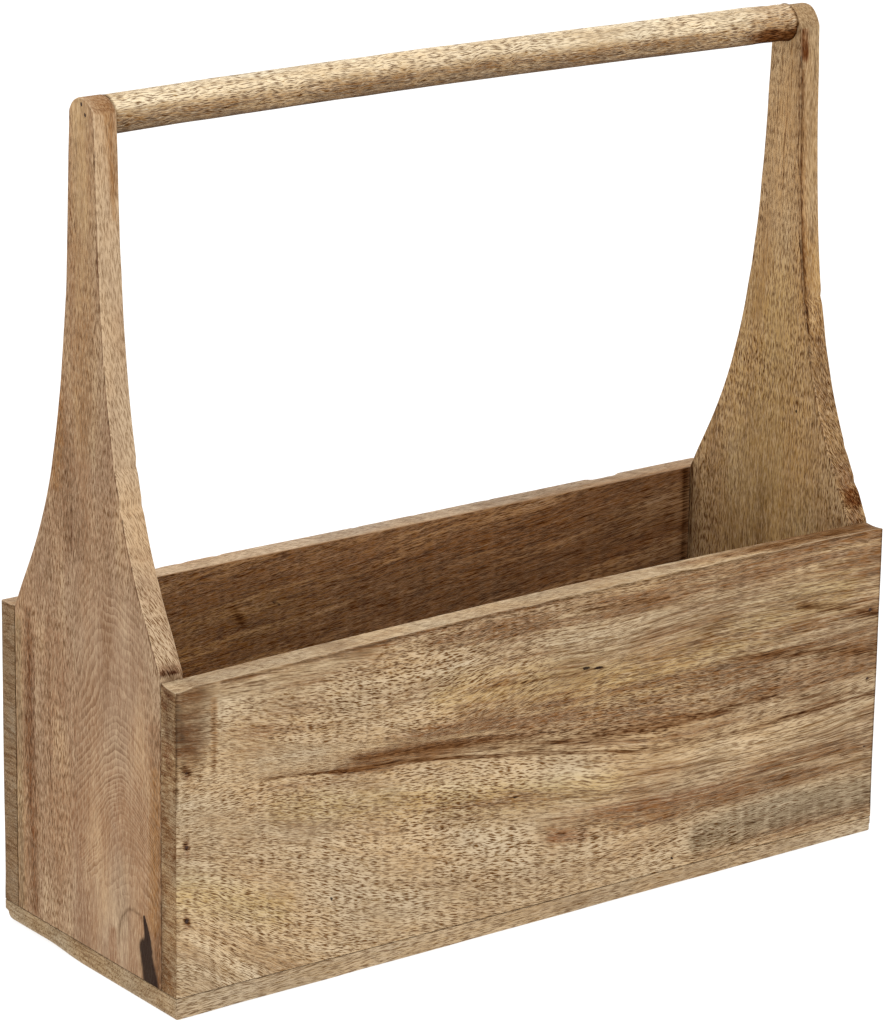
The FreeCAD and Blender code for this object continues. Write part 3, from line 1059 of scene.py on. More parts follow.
@dataclass
class BottomBoard(WoodPiece):
    """The board under everything, flush with the box's faces."""

    foot: float = 1.3
    back_foot: float = 4.2
    foot_limit: float = 4.4
    foot_height: float = 4.6
    arris: float = 0.5

    def build(self, brads: tuple[Point, ...]) -> bpy.types.Object:
        """Make the board.

        Args:
            brads: where the brads go up through it, as X and Y.

        Returns:
            The piece.
        """
        length, depth = SIZES.half_length, SIZES.half_depth
        bends = (self.back_foot, self.foot, self.arris)
        block = Block(stations(-length, length, JOINT_STEP, bends),
                      stations(-depth, depth, JOINT_STEP, bends),
                      stations(0, SIZES.bottom, 1.6, bends))
        x, y, z = block.points.T
        worn = 1 + 0.35 * SmoothNoise(5).at(block.points, (23, 23, 60))
        back_left = np.maximum(smooth_step(0, 40, y) * smooth_step(-120, -190, x),
                               0.5 * smooth_step(-204, -205, x))
        foot = (self.foot + (self.back_foot - self.foot) * back_left) * worn
        radius = np.where(z < self.foot_height, np.minimum(foot, self.foot_limit), self.arris)
        skin = block.rounded((-length, -depth, 0.0), (length, depth, SIZES.bottom), radius)
        skin.roughen(11, (34, 21, 9), 0.22)
        skin.punch(Face.UNDER, brads, SIDE_HOLE)
        x, y, z = skin.points.T
        skin.points[:, 2] = z * SIZES.joint(x) / SIZES.bottom
        flow = 1.4 * SmoothNoise(31).at(skin.points, (70, 22, 12))
        along, across = BOTTOM_FIGURE
        grain = np.stack((x + along, z + across + flow, y), 1)
        return self.dress(skin, grain, skin.cut(0))

    def wear_side(self, skin: Skin) -> np.ndarray:
        """Only the upper arrises lie in a joint."""
        return np.where(skin.points[:, 2] > SIZES.bottom / 2, -0.45, 0.3)


@dataclass
class SideBoard(WoodPiece):
    """A wide board that laps over both ends' edges."""

    side: int = -1
    seed: int = 3
    arris: float = 0.8
    flow: FlowLines | None = None
    pore_flow: FlowLines | None = None
    tilt: float = 0.0
    step: float = 1.5
    chips: tuple[tuple[float, float, float, float], ...] = ()

    def build(self, brads: tuple[Point, ...]) -> bpy.types.Object:
        """Make the board.

        Args:
            brads: where the brads go through its outer face, as X and Z.

        Returns:
            The piece.
        """
        length = SIZES.half_length
        near, far = sorted((self.side * SIZES.half_depth, self.side * SIZES.inner_depth))
        along, up = zip(*brads)
        block = Block(
            stations(-length, length, self.step, (self.arris,), along),
            stations(near, far, THROUGH_STEP, (self.arris,)),
            stations(SIZES.bottom, SIZES.box_top, self.step, (self.arris, 1.5), up))
        worn = SmoothNoise(self.seed).at(block.points, (13, 40, 17))
        upper = smooth_step(SIZES.bottom + 3, SIZES.bottom + 12, block.points[:, 2])
        skin = block.rounded((-length, near, SIZES.bottom), (length, far, SIZES.box_top),
                             LEAST_ROUNDING + upper * (self.arris - 0.30) * (1 + 0.5 * worn))
        self.chip(skin)
        skin.roughen(self.seed + 1, (52, 30, 24), 0.25)
        skin.punch(Face.FRONT if self.side < 0 else Face.BACK, brads, SIDE_HOLE)
        self.slope(skin)
        return self.dress(skin, self.grain(skin, self.flow), skin.cut(0),
                          self.grain(skin, self.pore_flow or self.flow))

    def wear_side(self, skin: Skin) -> np.ndarray:
        """Put the lower arrises and those against the ends in a joint.

        Args:
            skin: the shaped surface.

        Returns:
            From 1 where the surface is rubbed and given a painted highlight to -1 where it lies in a joint.
        """
        x, y, z = skin.points.T
        low = z < SIZES.bottom + 3
        upright = np.abs(x) > SIZES.half_length - 1.5
        inner = (self.side * y < SIZES.inner_depth + 1) & upright
        rub_and_highlight = np.where(upright & (z < SIZES.front_top(x) - 2.5), -0.45, 0.9)
        return np.where(low, -0.8, np.where(inner, -1.0, rub_and_highlight))

    def chip(self, skin: Skin) -> None:
        """Break small splinters out of the board's upper arrises.

        Args:
            skin: the surface, which changes.
        """
        x, y, z = skin.points.T
        coarse, fine = (SmoothNoise(self.seed + shift).at(skin.points, (wave, 60, 60))
                        for shift, wave in ((4, 19), (5, 5)))
        ragged = smooth_step(0.05, 0.75, coarse + 0.4 * fine)
        outer = smooth_step(2.2, 0.4, np.abs(y - self.side * SIZES.half_depth))
        upper = smooth_step(SIZES.box_top - 1.6, SIZES.box_top - 0.2, z)
        skin.points[:, 2] = z - 0.9 * ragged * outer * upper
        for along, across, reach, depth in self.chips:
            near = np.clip(1 - np.abs(x - along) / reach, 0, 1) ** 0.6
            over = np.clip(1 - np.abs(y - across) / 8.0, 0, 1) ** 0.5
            top = smooth_step(SIZES.box_top - 3.5, SIZES.box_top, skin.points[:, 2])
            skin.points[:, 2] -= depth * top * near * over

    def slope(self, skin: Skin) -> None:
        """Let the lower edge follow the bottom board, and the upper edge its own line.

        Args:
            skin: the surface, which changes.
        """
        x, _, z = skin.points.T
        top = SIZES.front_top(x) if self.side < 0 else SIZES.box_top
        share = (z - SIZES.bottom) / (SIZES.box_top - SIZES.bottom)
        skin.points[:, 2] = SIZES.joint(x) + share * (top - SIZES.joint(x))

    def grain(self, skin: Skin, flow: FlowLines | None) -> np.ndarray:
        """Find the grain's own coordinates over the board.

        Args:
            skin: the shaped surface.
            flow: the lines that the grain follows, or None where it runs straight.

        Returns:
            Along, across and through the grain at each point.
        """
        x, y, z = skin.points.T
        level = z - self.tilt * x if flow is None else flow.level(x, z)
        sway = 1.6 * SmoothNoise(self.seed + 7).at(skin.points, (62, 30, 17))
        small = 0.6 * SmoothNoise(self.seed + 8).at(skin.points, (22, 20, 7))
        along = 1.15 * x - 0.0009 * x ** 2 + 0.9 * y * smooth_step(0.3, 0.8, skin.normals[:, 2])
        return np.stack((along + SIDE_FIGURE * (1 + self.side), level + sway + small, y), 1)


@dataclass
class EndPanel(WoodPiece):
    """An end: a foot between the boards that sweeps in to a tall stem with a crown."""

    side: int = -1
    seed: int = 17
    arris: float = 1.0
    step: float = 1.5
    crown_rise: float = 5.5
    crown_corners: Point = (1.5, 4.0)
    sweep: tuple[Point, ...] = ((60.0, 157.0), (48.26, 185.64), (17.73, 210.9), (12.28, 349.81))
    top_half: float = 10.2
    lean: float = 0.0
    inner_rub_and_highlight: float = 1.0
    rim: float = 3.0
    curl_wave: Place = (20.0, 5.0, 9.0)
    arches: tuple[Point, ...] = ()
    chips: tuple[Place, ...] = ()

    @property
    def outer_face(self) -> Face:
        """The side that looks away from the box."""
        return Face.LEFT if self.side < 0 else Face.RIGHT

    def half_width(self, height: np.ndarray) -> np.ndarray:
        """Find half the end's width.

        Args:
            height: the heights to look at.

        Returns:
            Half the width at each height.
        """
        share = np.linspace(0, 1, 60)[:, None]
        first, second, third, fourth = (np.array(spot) for spot in self.sweep)
        curve = (first * (1 - share) ** 3 + second * 3 * share * (1 - share) ** 2
                 + third * 3 * share ** 2 * (1 - share) + fourth * share ** 3)
        line = np.vstack(((SIZES.inner_depth, 0.0), curve, (self.top_half, SIZES.crown)))
        return np.interp(height, line[:, 1], line[:, 0])

    def build(self, brads: tuple[Point, ...]) -> bpy.types.Object:
        """Make the end.

        Args:
            brads: where the brads go through its outer face, as Y and Z.

        Returns:
            The piece.
        """
        near, far = sorted((self.side * SIZES.half_length, self.side * SIZES.inner_length))
        depth = SIZES.inner_depth
        block = Block(
            stations(near, far, THROUGH_STEP, (self.arris,)),
            stations(-depth, depth, self.step, (self.rim, self.arris)),
            stations(SIZES.bottom, SIZES.crown, self.step, (self.arris, self.rim),
                     tuple(height for _, height in brads)))
        x, y, z = block.points.T
        half = self.half_width(z)
        from_edge = depth - np.abs(y)
        inside = y * (half - self.rim) / (depth - self.rim)
        block.points[:, 1] = np.where(from_edge < self.rim, np.sign(y) * (half - from_edge), inside)
        same = np.ones(len(x))
        worn = SmoothNoise(self.seed).at(block.points, (40, 40, 11))
        free = smooth_step(SIZES.box_top - 2, SIZES.box_top + 6, z)
        skin = block.rounded(np.stack((near * same, -half, SIZES.bottom * same), 1),
                             np.stack((far * same, half, SIZES.crown * same), 1),
                             LEAST_ROUNDING
                             + free * (self.arris - LEAST_ROUNDING) * (1 + 0.45 * worn))
        self.crown(skin)
        self.chip(skin)
        skin.roughen(self.seed + 1, (25, 21, 37), 0.22)
        skin.punch(self.outer_face, brads, CROWN_HOLE)
        self.settle(skin)
        self.marks = {**self.marks, Face.LEFT: self.marks[Face.LEFT] + self.line_arris()}
        return self.dress(skin, self.grain(skin), skin.cut(2), None, self.rings(skin))

    def line_arris(self) -> tuple[Mark, ...]:
        """Draw the dark broken line that lies beside the stem's front arris.

        Returns:
            The mark.
        """
        heights = np.arange(SIZES.box_top + 2, SIZES.crown - 8, 11.0)
        wave = 0.35 * np.sin(heights * 0.31 + self.seed)
        across = self.lean_at(heights) - self.half_width(heights) + 0.9 + wave
        widths = 0.75 + 0.25 * np.cos(heights * 0.47)
        return Tint.DARK.marks((0.62, *zip(across, heights, widths)))

    def lean_at(self, height: np.ndarray) -> np.ndarray:
        """Return how far the stem leans to the front at each height."""
        return -self.lean * smooth_step(SIZES.box_top + 60, SIZES.crown, height)

    def wear_side(self, skin: Skin) -> np.ndarray:
        """Put the arrises beside the boards in a joint, and leave the crown's corners unrubbed and without
        a painted highlight.

        Args:
            skin: the shaped surface.

        Returns:
            From 1 where the surface is rubbed and given a painted highlight to -1 where it lies in a joint.
        """
        rub_and_highlight = smooth_step(0.05, 0.35, np.abs(skin.normals[:, 0]))
        inner = np.abs(skin.points[:, 0]) < SIZES.inner_length + 2
        rub_and_highlight = np.where(inner, rub_and_highlight * self.inner_rub_and_highlight, rub_and_highlight)
        return np.where(skin.points[:, 2] < SIZES.box_top - 0.5, -1.0, rub_and_highlight)

    def crown(self, skin: Skin) -> None:
        """Bring the flat top down to the crown's arc and its two rounded corners.

        Args:
            skin: the surface, which changes.
        """
        _, y, z = skin.points.T
        half = self.half_width(np.array([SIZES.crown]))[0]
        reach = np.clip(np.abs(y) / half, 0, 1)
        drop = self.crown_rise * reach ** 2
        for side, corner in zip((-1, 1), self.crown_corners):
            over = np.clip((side * y - (half - corner)) / corner, 0, 1)
            drop = drop + corner * (1 - np.sqrt(1 - over ** 2 * 0.999))
        share = np.clip((z - (SIZES.crown - CROWN_REACH)) / CROWN_REACH, 0, 1)
        skin.points[:, 2] = z - drop * share

    def chip(self, skin: Skin) -> None:
        """Bruise the stem's arrises.

        Args:
            skin: the surface, which changes.
        """
        for side, height, depth in self.chips:
            _, y, z = skin.points.T
            edge = smooth_step(-2.5, 0.0, side * y - self.half_width(z))
            bite = depth * edge * np.clip(1 - np.abs(z - height) / 3.5, 0, 1)
            skin.points[:, 1] = y - side * bite

    def settle(self, skin: Skin) -> None:
        """Stand the end on the bottom board, which thins towards the right.

        Args:
            skin: the surface, which changes.
        """
        x, _, z = skin.points.T
        low = 1 - smooth_step(SIZES.bottom, SIZES.box_top, z)
        skin.points[:, 2] = z + (SIZES.joint(x) - SIZES.bottom) * low
        skin.points[:, 1] += self.lean_at(z)

    def grain(self, skin: Skin) -> np.ndarray:
        """Find the grain's own coordinates, which run up the end."""
        x, y, z = skin.points.T
        sway = 1.2 * SmoothNoise(self.seed + 7).at(skin.points, (30, 14, 55))
        return np.stack((z, y + sway + END_FIGURE * self.side, x), 1)

    def rings(self, skin: Skin) -> np.ndarray:
        """Count the growth rings that show as nested arches on the outer face.

        Args:
            skin: the shaped surface.

        Returns:
            The count at each point, and 0 where no ring shows.
        """
        if not self.arches:
            return np.zeros(len(skin.points))
        _, y, z = skin.points.T
        tops = np.array(sorted(self.arches, key=lambda arch: arch[1]))
        gap = y - np.interp(z, tops[:, 1], tops[:, 0])
        high = smooth_step(95, 145, z)
        slope = np.where(gap > 0, 1.0 + 0.3 * high, 1.0 - 0.40 * high)
        level = z + np.sqrt(ARCH_BEND ** 2 + (slope * gap) ** 2) - ARCH_BEND
        count = np.interp(level, tops[:, 1], np.arange(len(tops)))
        beyond = np.clip(level - tops[-1, 1], 0, SIZES.crown) / ARCH_GAP
        reach = self.outer_face.shown(skin.normals) * (1 - smooth_step(*ARCH_HEAD, z))
        reach = reach * (1 - smooth_step(2, 22, y + 0.12 * (150 - z)))
        reach = reach * smooth_step(*ARCH_FOOT, z)
        return (1.0 + count + beyond) * (reach > 0.02)


@dataclass
class HandleDowel(WoodPiece):
    """The round handle: shaved by hand, a little bowed, butted between the stems."""

    radius: float = 9.0
    height: float = 393.0
    bow: float = 1.8
    rings: int = 260
    facets: int = 56
    flats: float = 0.34
    lumps: float = 0.45
    swell: float = 0.35
    lift: float = 0.5

    def build(self) -> bpy.types.Object:
        """Make the handle, lumpy at its right joint, and store its wood's coordinates.

        Returns:
            The piece.
        """
        mesh = self.swept()
        points = np.empty(len(mesh.vertices) * 3)
        mesh.vertices.foreach_get("co", points)
        points = points.reshape(-1, 3) / MM
        x, y, z = points.T
        flat = np.zeros(len(x))
        centre = self.height + self.bow * (1 - (x / SIZES.inner_length) ** 2)
        normals = np.stack((flat, y, z - centre), 1)
        normals /= np.maximum(np.linalg.norm(normals, axis=1), 1e-6)[:, None]
        skin = Skin(points, normals, flat, np.zeros((0, 4), int))
        filler = smooth_step(*FILLER_START, x) * (1 - smooth_step(*FILLER_END, x))
        lumps = 0.5 + 0.5 * SmoothNoise(61).at(points, (4.5, 3.5, 3.5))
        thicker = smooth_step(60, SIZES.inner_length, x)
        skin.sink(self.lumps * filler * np.clip(lumps, 0, 1) - self.swell * thicker)
        skin.points[:, 2] += self.lift * thicker
        mesh.vertices.foreach_set("co", (skin.points * MM).ravel())
        around = np.degrees(np.arctan2(y, z - centre))
        curl = 1.1 * SmoothNoise(63).at(skin.points, (11, 7, 7))
        curl = curl + 0.6 * SmoothNoise(64).at(skin.points, (4.2, 4, 4))
        grain = np.stack((x + HANDLE_FIGURE, y + 0.12 * z + curl, z - 0.5 * curl), 1)
        dash = np.stack((x + HANDLE_FIGURE, np.radians(around) * self.radius + curl, y + curl), 1)
        ends = (np.abs(x) > SIZES.inner_length - 0.05).astype(float)
        return self.place(mesh, skin.vectors(grain, dash, self.round_marks(x, around), ends, flat))

    @staticmethod
    def round_marks(x: np.ndarray, around: np.ndarray) -> np.ndarray:
        """Lay the marks that wrap round the handle, with a painted highlight along its top and painted
        shade down its front and underside, and the glue and filler at its right.

        Args:
            x: the place along the handle.
            around: the angle from the top, towards the back, in degrees.

        Returns:
            One column for each Tint.
        """
        total = np.zeros((len(x), len(Tint)))
        for mark in (
            # The warm brown below the front is painted shade, the ochre band runs between, and the pale
            # band over the top is a painted highlight.
            *Tint.WARM.marks((1.0, (-193, -128, 68), (-60, -126, 62), (60, -124, 48),
                              (193, -122, 52)), soft=0.6),
            *Tint.OCHRE.marks((0.55, (-193, -94, 26), (0, -94, 24), (193, -90, 34))),
            *Tint.PALE.marks((1.0, (-193, -28, 50), (0, -28, 50), (120, -30, 60),
                              (160, -20, 46)), soft=0.5),
        ):
            mark.lay(total, np.stack((x, around), 1))
        places = np.stack((x, around * ROUND_PER_DEGREE, around * 0.0), 1)
        blotch = SmoothNoise(71).at(places, (7.0, 6.0, 9.0))
        glue = smooth_step(156, 176, x + 5 * blotch)
        low = smooth_step(-80, -110, around + 14 * blotch)
        crevice = smooth_step(0.30, 0.75, -blotch) * smooth_step(166, 182, x)
        spots = smooth_step(0.15, 0.75, blotch) * glue
        for tint, amount in (
                (Tint.SOOT, 0.75 * crevice), (Tint.OCHRE, 0.75 * glue), (Tint.DARK, 0.60 * spots),
                (Tint.DARK, 0.85 * glue * low), (Tint.RED, glue * low), (Tint.LONG, 0.5),
                (Tint.GRIME_AND_SHADE, smooth_step(191.6, 192.9, np.abs(x))),
                # Painted shade along the handle's underside.
                (Tint.GRIME_AND_SHADE, 0.75 * smooth_step(-132, -150, around))):
            column = total[:, tint.value]
            np.maximum(column, amount, out=column)
        return total

    def swept(self) -> bpy.types.Mesh:
        """Sweep a circle along a bowed line with Geometry Nodes, and shave it uneven.

        Returns:
            The plain mesh.
        """
        maker = ShapeMaker("shaved_handle", {
            "Half length": SIZES.inner_length * MM, "Radius": self.radius * MM,
            "Height": self.height * MM, "Bow": self.bow * MM, "Rings": self.rings,
            "Facets": self.facets, "Flats": self.flats * MM})
        given, step = maker.given, maker.step
        half, height = given["Half length"], given["Height"]
        line = step("GeometryNodeCurvePrimitiveLine", {
            "Start": maker.vector(maker.times(half, -1.0), 0.0, height),
            "End": maker.vector(half, 0.0, height)})
        spaced = step("GeometryNodeResampleCurve", {"Curve": line, "Count": given["Rings"]})
        place = step("GeometryNodeInputPosition", {})
        share = maker.math("DIVIDE", maker.split(place)[0], half)
        lift = maker.math("SUBTRACT", 1.0, maker.times(share, share))
        rise = maker.vector(0.0, 0.0, maker.times(lift, given["Bow"]))
        bowed = step("GeometryNodeSetPosition", {"Geometry": spaced, "Offset": rise})
        circle = step("GeometryNodeCurvePrimitiveCircle", {
            "Resolution": given["Facets"], "Radius": given["Radius"]})
        swept = step("GeometryNodeCurveToMesh", {
            "Curve": bowed, "Profile Curve": circle, "Fill Caps": True})
        stretched = step("ShaderNodeVectorMath", {0: place, 1: FLATS_PER_METRE},
                         operation="MULTIPLY")
        uneven = step("ShaderNodeTexNoise", {"Vector": stretched, "Scale": 1.0, "Detail": 2.0})
        depth = maker.times(maker.times(uneven, given["Flats"]), -2.0)
        inward = step("ShaderNodeVectorMath", {
            0: step("GeometryNodeInputNormal", {}), "Scale": depth}, operation="SCALE")
        upright = step("ShaderNodeVectorMath", {0: inward, 1: (0.0, 1.0, 1.0)},
                       operation="MULTIPLY")
        shaved = step("GeometryNodeSetPosition", {"Geometry": swept, "Offset": upright})
        smooth = step("GeometryNodeSetShadeSmooth", {0: shaved})
        return maker.settle(smooth, self.finish.build(), bpy.data.meshes.new("handle_carrier"))


# ---------------------------------------------------------------- brads
@dataclass
class BradRow:
    """Wire brads driven along one axis, their heads set just under the face."""

    name: str
    node: str
    heads: tuple[Place, ...]
    inward: tuple[Place, ...]
    shank: float = 1.3
    head: float = 2.0
    head_height: float = 0.8
    length: float = 28.0
    point: float = 2.0
    facets: int = 16

    def build(self, material: bpy.types.Material) -> bpy.types.Object:
        """Set a brad at each place with Geometry Nodes.

        Args:
            material: the brads' finish.

        Returns:
            The piece.
        """
        start = bpy.data.meshes.new(self.name + "_places")
        start.from_pydata([tuple(part * MM for part in head) for head in self.heads], [], [])
        store(start, {"inward": np.array(self.inward)})
        maker = ShapeMaker("brads", {
            "Shank": self.shank * MM / 2, "Head": self.head * MM / 2,
            "Head height": self.head_height * MM, "Length": self.length * MM,
            "Point": self.point * MM})
        way = maker.step("GeometryNodeInputNamedAttribute", {"Name": "inward"},
                         data_type="FLOAT_VECTOR")
        placed = maker.step("GeometryNodeInstanceOnPoints", {
            "Points": maker.step("GeometryNodeMeshToPoints", {0: maker.given["Geometry"]}),
            "Instance": self.brad(maker),
            "Rotation": maker.step("FunctionNodeAlignRotationToVector", {"Vector": way},
                                   axis="Z")})
        piece = new_object(self.name, maker.settle(placed, material, start))
        stand_in(piece, self.node, "brad_steel")
        return piece

    def brad(self, maker: ShapeMaker) -> Socket:
        """Make one brad up the Z axis, as a cone between each two rings of its profile.

        Args:
            maker: the tree that it is part of.

        Returns:
            The brad's geometry.
        """
        shank, head, height, length, point = (
            maker.given[label] for label in ("Shank", "Head", "Head height", "Length", "Point"))
        profile = (
            (maker.times(head, 0.86), 0.0), (head, maker.times(height, 0.22)),
            (head, maker.times(height, 0.75)), (shank, height),
            (shank, maker.math("SUBTRACT", length, point)), (maker.times(shank, 0.25), length))
        joined = maker.node("GeometryNodeJoinGeometry")
        for lower, upper in zip(profile, profile[1:]):
            cone = maker.node("GeometryNodeMeshCone", {
                "Vertices": self.facets, "Radius Bottom": lower[0], "Radius Top": upper[0],
                "Depth": maker.math("SUBTRACT", upper[1], lower[1])}, fill_type="NGON")
            shape = cone.outputs["Mesh"]
            for closed, name in ((lower is profile[0], "Bottom"), (upper is profile[-1], "Top")):
                if not closed:
                    shape = maker.step("GeometryNodeDeleteGeometry", {
                        "Geometry": shape, "Selection": cone.outputs[name]}, domain="FACE")
            moved = maker.step("GeometryNodeTransform", {
                "Geometry": shape, "Translation": maker.vector(0.0, 0.0, lower[1])})
            maker.feed(joined.inputs[0], moved)
        return maker.step("GeometryNodeMergeByDistance", {
            0: joined.outputs[0], "Distance": 0.00001})


# ---------------------------------------------------------------- the whole tote
@dataclass
class ToolTote:
    """The tote: where its brads go, and its pieces in building order."""

    corner_heights: tuple[float, ...] = (46.0, 81.0, 116.0)
    corner_along: float = 199.0
    under_along: tuple[float, ...] = (-165.0, -55.0, 55.0, 165.0)
    under_across: float = 66.0
    end_across: float = 35.0
    handle_spots: tuple[Point, ...] = ((0.0, 398.9), (-2.9, 394.7))
    set_depth: float = 0.4

    def build(self) -> list[bpy.types.Object]:
        """Make every piece of the tote.

        Returns:
            The pieces.
        """
        corners = tuple((side * self.corner_along, height)
                        for side in (-1, 1) for height in self.corner_heights)
        under = tuple((x, side * self.under_across)
                      for side in (-1, 1) for x in self.under_along)
        under += tuple((side * self.corner_along, across)
                       for side in (-1, 1) for across in (-self.end_across, self.end_across))
        pieces = [
            BottomBoard("bottom_board", BOTTOM_WOOD).build(under),
            front_board().build(corners),
            back_board().build(corners),
            left_end().build(self.handle_spots),
            right_end().build(self.handle_spots),
            HandleDowel("handle_dowel", DOWEL_WOOD).build(),
        ]
        return pieces + self.brads(corners, under)

    def brads(self, corners: tuple[Point, ...], under: tuple[Point, ...]
              ) -> list[bpy.types.Object]:
        """Make the four groups of brads.

        Args:
            corners: X and Z of those through the boards.
            under: X and Y of those up through the bottom.

        Returns:
            The pieces.
        """
        steel = brad_steel()
        face = SIZES.half_depth - self.set_depth
        end = SIZES.half_length - self.set_depth
        rows = (
            BradRow("front_brads", "front_board_brads",
                    tuple((x, -face, z) for x, z in corners), ((0, 1, 0),) * len(corners)),
            BradRow("back_brads", "back_board_brads",
                    tuple((x, face, z) for x, z in corners), ((0, -1, 0),) * len(corners)),
            BradRow("bottom_brads", "bottom_board_brads",
                    tuple((x, y, self.set_depth) for x, y in under),
                    ((0, 0, 1),) * len(under)),
            BradRow("crown_brads", "handle_brads",
                    tuple((side * end, y, z) for side in (-1, 1) for y, z in self.handle_spots),
                    ((1, 0, 0),) * 2 + ((-1, 0, 0),) * 2),
        )
        return [row.build(steel) for row in rows]


